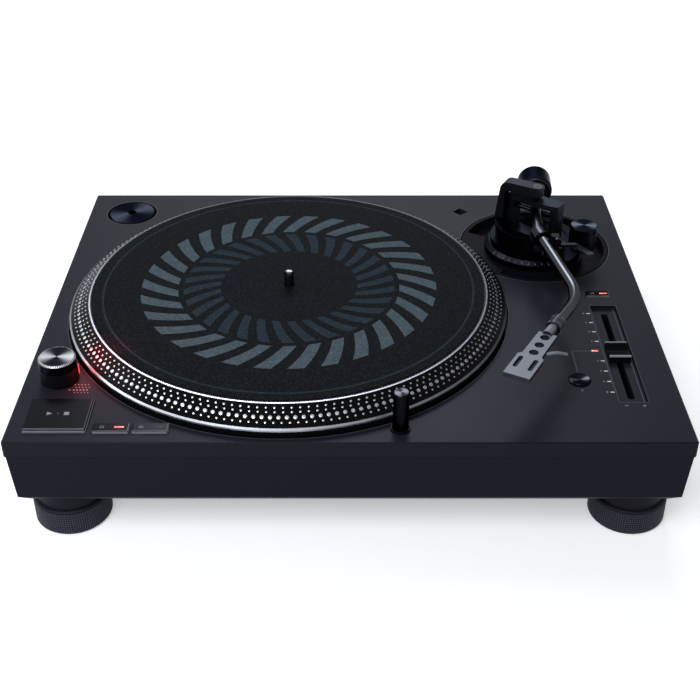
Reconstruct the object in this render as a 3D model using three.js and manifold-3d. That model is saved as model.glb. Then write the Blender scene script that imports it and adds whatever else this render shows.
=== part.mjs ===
// Direct drive turntable, in millimetres, +Z up.
// Origin: the point on the table under the middle of the plinth. +X right, +Y to the rear.
// Heights whose names end in LEVEL are measured from the top of the deck.

import * as THREE from 'three';
import { mergeVertices } from 'three/addons/utils/BufferGeometryUtils.js';
import Module from 'manifold-3d';

const wasm = await Module();
wasm.setup();

// Plinth: deck casting over a base shell
const DECK_THICKNESS = 12;
const DECK_CORNER = 1.6;
const DECK_CHAMFER = 0.8;
const BASE_HEIGHT = 43.4;
const BASE_WALL = 4;
const BASE_FLOOR = 4;
const BASE_CORNER = 1.6;
const BASE_INSET = 1;
const BASE_DRAFT = 2;
const BASE_BEVEL = 6;
const BASE_BEVEL_HEIGHT = 6.5;

// Fits shared by all pieces
const SEAT = 0.3;
const RUN = 0.4;
const OVERRUN = 2;

// Screw-adjusted feet
const FOOT_HEIGHT = 41.9;
const FOOT_RADIUS = 27;
const FOOT_RING_HEIGHT = 21.5;
const FOOT_NECK_RADIUS = 24.5;
const FOOT_EDGE = 1.6;
const FOOT_FROM_SIDE = 27.5;
const FOOT_FROM_FRONT = 44.5;
const FOOT_TO_BASE = 0.4;
const STUD_RADIUS = 4;
const STUD_LENGTH = 34;
const STUD_IN_FOOT = 12;
const BOSS_RADIUS = 10;
const BOSS_HEIGHT = 24;

// Platter
const PLATTER_TO_LEFT = 15.2;
const PLATTER_TO_FRONT = 5.5;
const PLATTER_TO_REAR = 19.2;
const PLATTER_RING_WIDTH = 1.8;
const PLATTER_RIM_LEVEL = 5.5;
const PLATTER_RIM_DEPTH = 6;
const PLATTER_WALL = 7;
const PLATTER_TOP_RADIUS = 150.7;
const PLATTER_BAND_WIDTH = 15.3;
const PLATTER_TOP_LEVEL = 16.4;
const PLATTER_LIP = 2.2;
const PLATTER_WEB = 4;
const PLATTER_HUB_RADIUS = 14;
const PLATTER_HUB_HEIGHT = 8;
const WELL_GAP = 1.3;
const WELL_DEPTH = 9;
const SLIPMAT_THICKNESS = 1.5;
const SLIPMAT_PROUD = 0.6;
const SLIPMAT_EDGE_GAP = 0.6;
const DAMPING_THICKNESS = 2.7;
const DAMPING_INNER_RADIUS = 62;

// Spindle, bearing and direct drive motor
const SPINDLE_RADIUS = 3.6;
const SPINDLE_LEVEL = 30;
const SPINDLE_SHOULDER_RADIUS = 9;
const SPINDLE_SHOULDER_HEIGHT = 3.7;
const SHAFT_RADIUS = 5;
const BEARING_WALL = 4.6;
const BEARING_FLOOR = 4;
const BEARING_FLANGE_RADIUS = 16;
const BEARING_FLANGE_THICKNESS = 3;
const MAGNET_INNER_RADIUS = 46;
const MAGNET_OUTER_RADIUS = 58;
const MAGNET_HEIGHT = 19;
const MOTOR_OPENING_RADIUS = 62;
const MOTOR_BOARD_RADIUS = 70;
const MOTOR_BOARD_THICKNESS = 2;
const STATOR_INNER_RADIUS = 18;
const STATOR_OUTER_RADIUS = 42;
const STATOR_HEIGHT = 10;
const STATOR_SLOTS = 9;
const STATOR_SLOT_WIDTH = 4;
const STATOR_SLOT_DEPTH = 12;

// Power supply and the terminals in the rear wall
const SUPPLY_WIDTH = 84;
const SUPPLY_DEPTH = 62;
const SUPPLY_HEIGHT = 24;
const SUPPLY_FROM_LEFT = 48;
const SUPPLY_FROM_REAR = 46;
const TERMINAL_HEIGHT = 22;
const TERMINAL_RECESS = 3.4;
const TERMINAL_WALL = 2;
const TERMINAL_LIFT = 6;
const INLET_WIDTH = 32;
const INLET_DEPTH = 24;
const INLET_CAVITY = 15;
const INLET_PIN_RADIUS = 1.3;
const INLET_PIN_LENGTH = 9;
const INLET_PIN_SPACING = 9;
const INLET_FROM_CENTRE = 90;
const PHONO_WIDTH = 70;
const PHONO_DEPTH = 18;
const PHONO_FROM_CENTRE = 70;
const JACK_RADIUS = 4.2;
const JACK_LENGTH = 8.5;
const JACK_SPACING = 20;
const GROUND_SCREW_RADIUS = 4.6;
const GROUND_SCREW_LENGTH = 8;
const GROUND_SHANK_RADIUS = 1.8;

// Start button, speed buttons, reset button and pitch range button
const START_FROM_LEFT = 11.2;
const START_FROM_FRONT = 10.4;
const START_PROUD = 2.6;
const BUTTON_BODY_DEPTH = 9;
const BUTTON_CORNER = 1.2;
const START_BEVEL = 1.4;
const SPEED_TO_START = 4;
const SPEED_GAP = 1.6;
const SPEED_FROM_FRONT = 9.6;
const SPEED_PROUD = 1.8;
const SPEED_BEVEL = 0.7;
const RESET_RADIUS = 7.5;
const RESET_FROM_RIGHT = 67.02;
const RESET_BEFORE_FADER = 36.55;
const RESET_PROUD = 1.6;
const RANGE_WIDTH = 18.5;
const RANGE_DEPTH = 8.2;
const RANGE_FROM_RIGHT = 25.22;
const RANGE_BEHIND_FADER = 12.6;
const RANGE_PROUD = 0.8;

// Pitch fader
const FADER_WIDTH = 20;
const FADER_LENGTH = 124.1;
const FADER_FROM_RIGHT = 23.72;
const FADER_BEFORE_PIVOT = 150.8842;
const FADER_PANEL_LEVEL = -3;
const FADER_PANEL_THICKNESS = 2;
const FADER_SLOT_WIDTH = 5;
const FADER_SLOT_LENGTH = 110;
const FADER_UNIT_HEIGHT = 16;
const FADER_UNIT_WALL = 3;
const KNOB_WIDTH = 15.5;
const KNOB_LENGTH = 21.5;
const KNOB_HEIGHT = 5.3;
const KNOB_DIP = 2.6;
const KNOB_RIDGE = 3;
const KNOB_FROM_CENTRE = -1;
const STEM_WIDTH = 3;
const STEM_LENGTH = 7;
const STEM_DEPTH = 10;

// Power knob on the strobe pod
const POD_RADIUS = 13.8;
const POD_HEIGHT = 11;
const POD_TO_PLATTER = 19.583;
const POD_SPIGOT_RADIUS = 9;
const POWER_KNOB_RADIUS = 13.1;
const POWER_KNOB_HEIGHT = 7.4;
const POWER_KNOB_BEVEL = 1.4;
const POWER_SHAFT_RADIUS = 3;
const POWER_SHAFT_LENGTH = 9;
const WINDOW_HEIGHT = 6.4;
const WINDOW_LIFT = 2;
const WINDOW_THICKNESS = 2.4;
const WINDOW_PROUD = 0.5;

// Pop-up stylus light
const LIGHT_TO_PLATTER = 9.54;
const LIGHT_FROM_FRONT = 15.2;
const LIGHT_RADIUS = 5.4;
const LIGHT_LEVEL = 30;
const LIGHT_LENGTH = 53;
const LIGHT_SLEEVE_RADIUS = 6.7;
const LIGHT_SLEEVE_PROUD = 1.4;
const LIGHT_FLAT_HEIGHT = 6;
const LIGHT_FLAT_DEPTH = 0.8;

// Adapter for large centre holes, and the spare headshell socket
const ADAPTER_RADIUS = 20.5;
const ADAPTER_HEIGHT = 6.4;
const ADAPTER_BORE_RADIUS = 3.8;
const ADAPTER_BEVEL = 1.6;
const ADAPTER_FROM_LEFT = 36.7;
const ADAPTER_FROM_REAR = 35.2;
const ADAPTER_POCKET_DEPTH = 6;
const ADAPTER_GAP = 0.8;
const SOCKET_FROM_RIGHT = 131.32;
const SOCKET_FROM_REAR = 32.7;
const SOCKET_RADIUS = 5;
const SOCKET_WALL = 2;
const SOCKET_DEPTH = 30;
const SOCKET_MOUTH = 9.2;

// Tonearm base: well, height ring, cup and bracket
const PIVOT_TO_PLATTER = 49;
const ARM_WELL_TO_RIGHT = 12.65;
const ARM_WELL_RADIUS = 61.5;
const ARM_WELL_OFFSET_X = 2.85;
const ARM_WELL_OFFSET_Y = 7.7;
const PAN_LIP = 1.2;
const PAN_FLANGE_LEVEL = -3;
const PAN_RECESS_DEPTH = 9;
const PAN_RECESS_INNER_RADIUS = 42;
const PAN_RECESS_OUTER_RADIUS = 57.5;
const HEIGHT_RING_RADIUS = 39.5;
const HEIGHT_RING_HEIGHT = 8.5;
const HEIGHT_RING_STEP = 1.6;
const HEIGHT_RING_LIP = 3;
const COLLAR_RADIUS = 26.5;
const COLLAR_DEPTH = 16;
const BASE_FLANGE_RADIUS = 35;
const BASE_FLANGE_THICKNESS = 3.6;
const CUP_RADIUS = 31;
const CUP_RIM_RADIUS = 32;
const CUP_RIM_HEIGHT = 3;
const CUP_WALL = 3;
const CUP_HEIGHT = 15.5;
const BRACKET_WIDTH = 11;
const BRACKET_LEVEL = 57.5;
const BRACKET_ARM = 7.4;
const BRACKET_PILLAR = 7.5;
const BRACKET_REACH = 33;
const BRACKET_TAPER = 3.8;
const BRACKET_CORNER = 7;
const PIVOT_SCREW_RADIUS = 4;
const PIVOT_SCREW_HEAD = 2;
const PIVOT_PIN_RADIUS = 2;
const PIVOT_PIN_BITE = 2.6;

// Side plate with the anti-skating unit, the lift, the lever and the rest
const PLATE_THICKNESS = 5;
const SKATE_X = 37;
const SKATE_Y = -18;
const SKATE_RADIUS = 11;
const SKATE_HEIGHT = 15;
const SKATE_KNOB_RADIUS = 10.6;
const SKATE_KNOB_HEIGHT = 3.6;
const SKATE_KNOB_BEVEL = 0.8;
const SKATE_PIN_RADIUS = 2;
const SKATE_PIN_LENGTH = 6;
const REST_X = 14;
const REST_Y = -53;
const POST_Y = -47;
const REST_RADIUS = 4.5;
const REST_CRADLE_WIDTH = 5;
const REST_CRADLE_THICKNESS = 3;
const REST_WALL = 3;
const REST_REACH = 7;
const CLIP_PIN_RADIUS = 1.5;
const CLIP_HUB_RADIUS = 3;
const CLIP_WIDTH = 4;
const CLIP_LENGTH = 15;
const CLIP_THICKNESS = 2;
const LIFT_X = 9.5;
const LIFT_Y = -31;
const LIFT_ROD_RADIUS = 2;
const LIFT_BAR_REACH = 17;
const LIFT_BAR_HEIGHT = 2;
const LIFT_BAR_WIDTH = 4;
const LIFT_TRAVEL = 3.5;
const LIFT_TOUCH = 0.4;
const LEVER_X = 29.5;
const LEVER_Y = -30;
const LEVER_HUB_RADIUS = 2.8;
const LEVER_HUB_WIDTH = 6;
const LEVER_LENGTH = 19;
const LEVER_BLADE_WIDTH = 5.4;
const LEVER_BLADE_THICKNESS = 1.8;
const LOCK_X = -12;
const LOCK_Y = 50;
const LOCK_RADIUS = 4.6;
const LOCK_HEIGHT = 8;
const LOCK_HANDLE_LENGTH = 12;
const LOCK_HANDLE_WIDTH = 3;

// Gimbal frame
const GIMBAL_HALF_WIDTH = 22.6;
const GIMBAL_HALF_DEPTH = 5.5;
const GIMBAL_BULGE = 3;
const GIMBAL_SIDE = 6;
const GIMBAL_BAR = 4.2;
const GIMBAL_TO_BRACKET = 2.8;
const GIMBAL_TO_FLOOR = 0.8;

// Tonearm, measured from its pivot
const ARM_LEVEL = 36;
const HUB_RADIUS = 4.6;
const HUB_REAR = 13;
const HUB_FRONT = 37.8;
const LIFT_AXLE_RADIUS = 2;
const CUFF_RADIUS = 6.3;
const CUFF_LENGTH = 11;
const CUFF_BORE_DEPTH = 6;
const TUBE_RADIUS = 4;
const TUBE_WALL = 1;
const TUBE_STRAIGHT = 97;
const TUBE_TAIL = 43;
const TUBE_BEND_RADIUS = 52;
const NUT_RADIUS = 5.3;
const NUT_LENGTH = 12;
const NUT_START = 38;
const SHELL_START = 58.7;
const SHELL_LENGTH = 56.7;
const SHELL_THICKNESS = 3.5;
const SHELL_ABOVE_AXIS = 1;
const SHELL_REAR_HALF_WIDTH = 6.5;
const SHELL_NECK_HALF_WIDTH = 6.9;
const SHELL_FRONT_HALF_WIDTH = 9.2;
const SHELL_FRONT_LENGTH = 25;
const SHELL_HOLE_RADIUS = 3.3;
const SHELL_SLOT_WIDTH = 3.2;
const SHELL_SLOT_LENGTH = 14;
const SHELL_SLOT_SPACING = 10.6;
const PLUG_RADIUS = 3.8;
const FINGER_RADIUS = 1.1;
const FINGER_REACH = 11;
const FINGER_SWEEP = 10;
const FINGER_ARCH = 1;
const FINGER_DROP = 2.5;

// Counterweight on the rear shaft
const REAR_SHAFT_RADIUS = 4.4;
const REAR_SHAFT_LENGTH = 43;
const REAR_SHAFT_OFFSET = 1.8;
const DIAL_START = 30;
const DIAL_RADIUS = 12.6;
const DIAL_LENGTH = 3.6;
const WEIGHT_RADIUS = 14;
const WEIGHT_LENGTH = 21;
const WEIGHT_EDGE = 1;
const SLEEVE_RADIUS = 8;

// Angles in degrees
const PIVOT_ANGLE = 23.53;
const BRACKET_ANGLE = -29;
const GIMBAL_ANGLE = -37;
const ARM_ANGLE = -4;
const CUFF_ANGLE = 14;
const SHELL_ANGLE = -25;
const TUBE_END_ANGLE = -26;
const WINDOW_ANGLE = 36;
const WINDOW_SPREAD = 40;
const PLATEAU_START = 150;
const PLATEAU_END = 232;
const CUP_OPEN_START = -84;
const CUP_OPEN_END = 116;
const LEVER_ANGLE = -58;

// Facets of round pieces
const LARGE = 72;
const MEDIUM = 36;
const KNOB = 32;
const POST = 24;
const SMALL = 20;
const PEG = 12;
const TUBE_STEPS = 28;
const TUBE_SIDES = 6;
const FINGER_STEPS = 12;
const FINGER_SIDES = 4;
const KNEE_BANDS = 10;

// Facets of a quarter turn at a corner
const BROAD_CORNER = 8;
const BASE_FACETS = 6;
const DECK_FACETS = 4;
const SLOT_FACETS = 3;
const KEY_FACETS = 2;

// Points nearer than these, in millimetres, are one
const SAME_POINT = 1e-6;
const WELD = 1e-4;

// Shares of the size that carries them
const START_WIDTH_SHARE = 0.25663;
const START_DEPTH_SHARE = 0.21446;
const SPEED_WIDTH_SHARE = 0.14699;
const SPEED_DEPTH_SHARE = 0.05904;
const POD_PLACE_SHARE = 0.1494;
const SHELL_HOLE_SHARES = [0.105, 0.285, 0.462];
const SHELL_SLOT_PLACE_SHARE = 0.72;
const SLOT_END_SHARE = 0.98;
const SPINDLE_TIP_SHARE = 0.8;

// Derived levels and places
const BASE_BOTTOM = FOOT_HEIGHT + FOOT_TO_BASE;
const DECK_BOTTOM = BASE_BOTTOM + BASE_HEIGHT + SEAT;
const DECK_TOP = DECK_BOTTOM + DECK_THICKNESS;
const PLATTER_RADIUS = PLATTER_TOP_RADIUS + PLATTER_BAND_WIDTH;
const START_WIDTH = PLATTER_RADIUS * START_WIDTH_SHARE;
const START_DEPTH = PLATTER_RADIUS * START_DEPTH_SHARE;
const SPEED_WIDTH = PLATTER_RADIUS * SPEED_WIDTH_SHARE;
const SPEED_DEPTH = PLATTER_RADIUS * SPEED_DEPTH_SHARE;
const PIVOT_TO_SPINDLE = PLATTER_RADIUS + PIVOT_TO_PLATTER;
const PIVOT_FROM_LEFT = PLATTER_TO_LEFT + PLATTER_RADIUS + PIVOT_TO_SPINDLE * Math.cos(radians(PIVOT_ANGLE));
const PLINTH_WIDTH = PIVOT_FROM_LEFT + ARM_WELL_OFFSET_X + ARM_WELL_RADIUS + ARM_WELL_TO_RIGHT;
const PLINTH_DEPTH = PLATTER_TO_FRONT + 2 * PLATTER_RADIUS + PLATTER_TO_REAR;
const LEFT = -PLINTH_WIDTH / 2;
const RIGHT = PLINTH_WIDTH / 2;
const FRONT = -PLINTH_DEPTH / 2;
const REAR = PLINTH_DEPTH / 2;
const PLATTER_X = LEFT + PLATTER_TO_LEFT + PLATTER_RADIUS;
const PLATTER_Y = FRONT + PLATTER_TO_FRONT + PLATTER_RADIUS;
const PIVOT_X = PLATTER_X + PIVOT_TO_SPINDLE * Math.cos(radians(PIVOT_ANGLE));
const PIVOT_Y = PLATTER_Y + PIVOT_TO_SPINDLE * Math.sin(radians(PIVOT_ANGLE));
const WELL_RADIUS = PLATTER_RADIUS + WELL_GAP;
const FLOOR_TOP = BASE_BOTTOM + BASE_FLOOR;

function radians(degrees) {
  return degrees * Math.PI / 180;
}

// Helpers that make closed geometries

function cylinder(radius, low, high, segments = SMALL) {
  const geometry = new THREE.CylinderGeometry(radius, radius, high - low, segments);
  return geometry.rotateX(Math.PI / 2).translate(0, 0, (low + high) / 2);
}

function block(left, right, front, rear, low, high) {
  const geometry = new THREE.BoxGeometry(right - left, rear - front, high - low);
  return geometry.translate((left + right) / 2, (front + rear) / 2, (low + high) / 2);
}

// A profile of [radius, height] points, turned about Z
function turned(profile, segments = MEDIUM) {
  const points = profile.map(([radius, height]) => new THREE.Vector2(radius, height));
  return new THREE.LatheGeometry(points, segments).rotateX(Math.PI / 2);
}

function ring(inner, outer, low, high, segments = MEDIUM) {
  const profile = [[inner, low], [outer, low], [outer, high], [inner, high], [inner, low]];
  return turned(profile, segments);
}

function outline(points) {
  return new THREE.Shape(points.map(([x, y]) => new THREE.Vector2(x, y)));
}

function prism(shape, low, high, curveSegments = SMALL) {
  const options = { depth: high - low, bevelEnabled: false, curveSegments };
  return new THREE.ExtrudeGeometry(shape, options).translate(0, 0, low);
}

// A prism whose outline lies in the Y, Z plane, from left to right
function prismAlongX(shape, left, right, curveSegments = SMALL) {
  const turn = new THREE.Matrix4().makeBasis(
    new THREE.Vector3(0, 1, 0), new THREE.Vector3(0, 0, 1), new THREE.Vector3(1, 0, 0));
  return prism(shape, left, right, curveSegments).applyMatrix4(turn);
}

// A prism whose outline lies in the X, Z plane, from front to rear
function prismAlongY(shape, front, rear, curveSegments = SMALL) {
  return prism(shape, -rear, -front, curveSegments).rotateX(Math.PI / 2);
}

function roundedRectangle(width, depth, corner) {
  const x = width / 2;
  const y = depth / 2;
  const shape = new THREE.Shape();
  shape.moveTo(-x + corner, -y);
  shape.lineTo(x - corner, -y);
  shape.absarc(x - corner, -y + corner, corner, -Math.PI / 2, 0);
  shape.absarc(x - corner, y - corner, corner, 0, Math.PI / 2);
  shape.absarc(-x + corner, y - corner, corner, Math.PI / 2, Math.PI);
  shape.absarc(-x + corner, -y + corner, corner, Math.PI, 1.5 * Math.PI);
  return shape;
}

// A rounded block whose sides step through levels of [height, inset]
function lofted(width, depth, corner, levels, cornerSegments = DECK_FACETS) {
  const rings = levels.map(([height, inset]) => {
    const radius = Math.max(corner - inset, corner / 4);
    const shape = roundedRectangle(width - 2 * inset, depth - 2 * inset, radius);
    const points = [];
    for (const point of shape.getPoints(cornerSegments)) {
      const last = points[points.length - 1];
      if (!last || last.distanceTo(point) > SAME_POINT) points.push(point);
    }
    if (points[0].distanceTo(points[points.length - 1]) < SAME_POINT) points.pop();
    return { height, points };
  });
  const count = rings[0].points.length;
  const positions = [];
  const index = [];
  for (const { height, points } of rings) {
    for (const point of points) positions.push(point.x, point.y, height);
  }
  for (let level = 0; level < rings.length - 1; level += 1) {
    for (let i = 0; i < count; i += 1) {
      const a = level * count + i;
      const b = level * count + (i + 1) % count;
      index.push(a, b, b + count, a, b + count, a + count);
    }
  }
  const top = (rings.length - 1) * count;
  for (const [a, b, c] of THREE.ShapeUtils.triangulateShape(rings[0].points, [])) {
    index.push(a, c, b);
  }
  for (const [a, b, c] of THREE.ShapeUtils.triangulateShape(rings[rings.length - 1].points, [])) {
    index.push(top + a, top + b, top + c);
  }
  const geometry = new THREE.BufferGeometry();
  geometry.setAttribute('position', new THREE.Float32BufferAttribute(positions, 3));
  geometry.setIndex(index);
  return geometry;
}

// A wedge of a full circle, from one angle to another, both in degrees
function sector(radius, start, end, low, high) {
  const shape = new THREE.Shape();
  shape.moveTo(0, 0);
  shape.lineTo(radius * Math.cos(radians(start)), radius * Math.sin(radians(start)));
  shape.absarc(0, 0, radius, radians(start), radians(end));
  shape.lineTo(0, 0);
  return prism(shape, low, high, MEDIUM);
}

function sweep(curve, radius, inner, steps, sides) {
  const section = new THREE.Shape();
  section.absarc(0, 0, radius, 0, 2 * Math.PI);
  if (inner > 0) {
    const bore = new THREE.Path();
    bore.absarc(0, 0, inner, 0, 2 * Math.PI, true);
    section.holes.push(bore);
  }
  return new THREE.ExtrudeGeometry(section, { steps, curveSegments: sides, extrudePath: curve });
}

// Solid cuts and joins

function toSolid(geometry) {
  const bare = geometry.clone();
  bare.deleteAttribute('normal');
  bare.deleteAttribute('uv');
  const merged = mergeVertices(bare, WELD);
  const position = merged.attributes.position.array;
  const source = merged.index.array;
  const corner = (i) => new THREE.Vector3(position[3 * i], position[3 * i + 1], position[3 * i + 2]);
  const triangles = [];
  let volume = 0;
  for (let i = 0; i < source.length; i += 3) {
    const [a, b, c] = [source[i], source[i + 1], source[i + 2]];
    if (a === b || b === c || a === c) continue;
    triangles.push(a, b, c);
    volume += corner(a).dot(corner(b).cross(corner(c)));
  }
  if (volume < 0) triangles.reverse();
  return new wasm.Manifold(new wasm.Mesh({
    numProp: 3,
    vertProperties: new Float32Array(position),
    triVerts: new Uint32Array(triangles),
  }));
}

function toGeometry(solid) {
  const mesh = solid.getMesh();
  const geometry = new THREE.BufferGeometry();
  geometry.setAttribute('position', new THREE.BufferAttribute(mesh.vertProperties, 3));
  geometry.setIndex(new THREE.BufferAttribute(mesh.triVerts, 1));
  return geometry;
}

function join(...geometries) {
  return toGeometry(geometries.map(toSolid).reduce((sum, next) => sum.add(next)));
}

function cut(geometry, ...cutters) {
  return toGeometry(cutters.map(toSolid).reduce((rest, next) => rest.subtract(next), toSolid(geometry)));
}

function common(first, second) {
  return toGeometry(toSolid(first).intersect(toSolid(second)));
}

function finish(color, roughness, metalness) {
  return new THREE.MeshStandardMaterial({ color, roughness, metalness });
}

const deckPaint = finish(0x25252e, 0.45, 0.3);
const basePaint = finish(0x191922, 0.5, 0.1);
const blackPaint = finish(0x1a1b20, 0.5, 0.3);
const blackPlastic = finish(0x101014, 0.45, 0);
const glossPlastic = finish(0x08080a, 0.2, 0);
const rubber = finish(0x131318, 0.85, 0);
const polished = finish(0xd8dadd, 0.2, 1);
const steel = finish(0x9a9da3, 0.35, 1);
const satin = finish(0x7d8087, 0.4, 1);
const brass = finish(0xb08d4a, 0.4, 1);
const felt = finish(0x1c2226, 0.95, 0);
const greyPlate = finish(0x34363c, 0.5, 0.4);
const copper = finish(0xa05a32, 0.5, 0.8);
const board = finish(0x1d4a2c, 0.7, 0);
const redLens = finish(0xc01818, 0.25, 0);
const ferrite = finish(0x2a2a2c, 0.8, 0.1);

const turntable = new THREE.Group();

function place(parent, name, geometry, material) {
  const mesh = new THREE.Mesh(toGeometry(toSolid(geometry)), material);
  mesh.name = name;
  parent.add(mesh);
  return mesh;
}

// A group whose zero height is the top of the deck
function station(x, y, degrees = 0, parent = turntable, height = DECK_TOP) {
  const group = new THREE.Group();
  group.position.set(x, y, height);
  group.rotation.z = radians(degrees);
  parent.add(group);
  return group;
}

// Places of the pieces on the deck

const footX = RIGHT - FOOT_FROM_SIDE;
const footY = REAR - FOOT_FROM_FRONT;
const startX = LEFT + START_FROM_LEFT + START_WIDTH / 2;
const startY = FRONT + START_FROM_FRONT + START_DEPTH / 2;
const speedY = FRONT + SPEED_FROM_FRONT + SPEED_DEPTH / 2;
const speed33X = startX + START_WIDTH / 2 + SPEED_TO_START + SPEED_WIDTH / 2;
const speed45X = speed33X + SPEED_WIDTH + SPEED_GAP;
const resetX = RIGHT - RESET_FROM_RIGHT;
const rangeX = RIGHT - RANGE_FROM_RIGHT - RANGE_WIDTH / 2;
const faderX = RIGHT - FADER_FROM_RIGHT - FADER_WIDTH / 2;
const faderY = PIVOT_Y - FADER_BEFORE_PIVOT;
const resetY = faderY - RESET_BEFORE_FADER;
const rangeY = faderY + FADER_LENGTH / 2 + RANGE_BEHIND_FADER + RANGE_DEPTH / 2;
const podX = LEFT + PLATTER_RADIUS * POD_PLACE_SHARE;
const podReach = PLATTER_RADIUS + POD_TO_PLATTER;
const podY = PLATTER_Y - Math.sqrt(podReach ** 2 - (PLATTER_X - podX) ** 2);
const lightReach = PLATTER_RADIUS + LIGHT_TO_PLATTER;
const lightY = FRONT + LIGHT_FROM_FRONT;
const lightX = PLATTER_X + Math.sqrt(lightReach ** 2 - (PLATTER_Y - lightY) ** 2);
const adapterX = LEFT + ADAPTER_FROM_LEFT;
const adapterY = REAR - ADAPTER_FROM_REAR;
const socketX = RIGHT - SOCKET_FROM_RIGHT;
const socketY = REAR - SOCKET_FROM_REAR;
const armWellX = PIVOT_X + ARM_WELL_OFFSET_X;
const armWellY = PIVOT_Y + ARM_WELL_OFFSET_Y;
const terminalLow = FLOOR_TOP + TERMINAL_LIFT;
const terminalHigh = terminalLow + TERMINAL_HEIGHT;
const terminalFace = REAR - TERMINAL_RECESS;

function deck() {
  const low = -DECK_THICKNESS - OVERRUN;
  const high = OVERRUN;
  const body = lofted(PLINTH_WIDTH, PLINTH_DEPTH, DECK_CORNER, [
    [-DECK_THICKNESS, 0],
    [-DECK_CHAMFER, 0],
    [0, DECK_CHAMFER],
  ]);
  const slotted = (width, depth, corner, x, y) =>
    prism(roundedRectangle(width + 2 * RUN, depth + 2 * RUN, corner + RUN), low, high, KEY_FACETS)
      .translate(x, y, 0);
  return cut(
    body,
    cylinder(WELL_RADIUS, -WELL_DEPTH, high, LARGE).translate(PLATTER_X, PLATTER_Y, 0),
    cylinder(MOTOR_OPENING_RADIUS, low, high, MEDIUM).translate(PLATTER_X, PLATTER_Y, 0),
    cylinder(ARM_WELL_RADIUS, low, high, LARGE).translate(armWellX, armWellY, 0),
    slotted(START_WIDTH, START_DEPTH, BUTTON_CORNER, startX, startY),
    slotted(SPEED_WIDTH, SPEED_DEPTH, BUTTON_CORNER, speed33X, speedY),
    slotted(SPEED_WIDTH, SPEED_DEPTH, BUTTON_CORNER, speed45X, speedY),
    slotted(RANGE_WIDTH, RANGE_DEPTH, BUTTON_CORNER, rangeX, rangeY),
    prism(roundedRectangle(FADER_WIDTH, FADER_LENGTH, BUTTON_CORNER), low, high, KEY_FACETS)
      .translate(faderX, faderY, 0),
    cylinder(RESET_RADIUS + RUN, low, high, MEDIUM).translate(resetX, resetY, 0),
    cylinder(POD_SPIGOT_RADIUS + SEAT, low, high, MEDIUM).translate(podX, podY, 0),
    cylinder(LIGHT_SLEEVE_RADIUS + SEAT, low, high, MEDIUM).translate(lightX, lightY, 0),
    cylinder(ADAPTER_RADIUS + ADAPTER_GAP, -ADAPTER_POCKET_DEPTH, high, MEDIUM)
      .translate(adapterX, adapterY, 0),
    block(-SOCKET_MOUTH / 2, SOCKET_MOUTH / 2, -SOCKET_MOUTH / 2, SOCKET_MOUTH / 2, low, high)
      .rotateZ(Math.PI / 4).translate(socketX, socketY, 0),
  );
}

function baseShell() {
  const bottomInset = BASE_INSET + BASE_DRAFT + BASE_BEVEL;
  const outer = lofted(PLINTH_WIDTH, PLINTH_DEPTH, BASE_CORNER, [
    [BASE_BOTTOM, bottomInset],
    [BASE_BOTTOM + BASE_BEVEL_HEIGHT, BASE_INSET + BASE_DRAFT],
    [BASE_BOTTOM + BASE_HEIGHT, BASE_INSET],
  ], BASE_FACETS);
  const inner = lofted(PLINTH_WIDTH, PLINTH_DEPTH, BASE_CORNER, [
    [FLOOR_TOP, BASE_INSET + BASE_DRAFT + BASE_WALL],
    [BASE_BOTTOM + BASE_HEIGHT + OVERRUN, BASE_INSET + BASE_WALL],
  ]);
  let shell = cut(outer, inner);
  const rearHole = (x, width) => block(
    x - width / 2 - SEAT, x + width / 2 + SEAT,
    REAR - BASE_WALL * 4, REAR + OVERRUN,
    terminalLow - SEAT, terminalHigh + SEAT);
  for (const x of [-footX, footX]) {
    for (const y of [-footY, footY]) {
      const low = FLOOR_TOP - BASE_FLOOR / 2;
      shell = join(shell, cylinder(BOSS_RADIUS, low, FLOOR_TOP + BOSS_HEIGHT).translate(x, y, 0));
      shell = cut(shell, cylinder(
        STUD_RADIUS + SEAT, BASE_BOTTOM - OVERRUN, FLOOR_TOP + BOSS_HEIGHT + OVERRUN).translate(x, y, 0));
    }
  }
  return cut(shell, rearHole(-INLET_FROM_CENTRE, INLET_WIDTH), rearHole(PHONO_FROM_CENTRE, PHONO_WIDTH));
}

function foot() {
  const edge = FOOT_EDGE;
  const bore = STUD_RADIUS + SEAT;
  const ringTop = FOOT_RING_HEIGHT;
  return turned([
    [0, 0],
    [FOOT_RADIUS - edge, 0],
    [FOOT_RADIUS, edge],
    [FOOT_RADIUS, ringTop - edge / 2],
    [FOOT_RADIUS - edge / 2, ringTop],
    [FOOT_NECK_RADIUS, ringTop],
    [FOOT_NECK_RADIUS, FOOT_HEIGHT],
    [bore, FOOT_HEIGHT],
    [bore, FOOT_HEIGHT - STUD_IN_FOOT - SEAT],
    [0, FOOT_HEIGHT - STUD_IN_FOOT - SEAT],
  ]);
}

function feet() {
  const sides = [['front', -footY], ['rear', footY]];
  for (const [row, y] of sides) {
    for (const [side, x] of [['left', -footX], ['right', footX]]) {
      const corner = station(x, y, 0, turntable, 0);
      place(corner, `foot_${row}_${side}`, foot(), rubber);
      const low = FOOT_HEIGHT - STUD_IN_FOOT;
      place(corner, `foot_stud_${row}_${side}`, cylinder(STUD_RADIUS, low, low + STUD_LENGTH), steel);
    }
  }
}

// Platter group, turning about the spindle

const platterFloor = PLATTER_TOP_LEVEL + SLIPMAT_PROUD - SLIPMAT_THICKNESS - SEAT;
const webBottom = platterFloor - PLATTER_WEB;
const hubBottom = webBottom - PLATTER_HUB_HEIGHT;
const shoulderTop = hubBottom - SEAT;
const shoulderBottom = shoulderTop - SPINDLE_SHOULDER_HEIGHT;
const boardTop = -DECK_THICKNESS - SEAT;
const boardBottom = boardTop - MOTOR_BOARD_THICKNESS;
const bearingBottom = FLOOR_TOP + SEAT - DECK_TOP;

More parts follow.
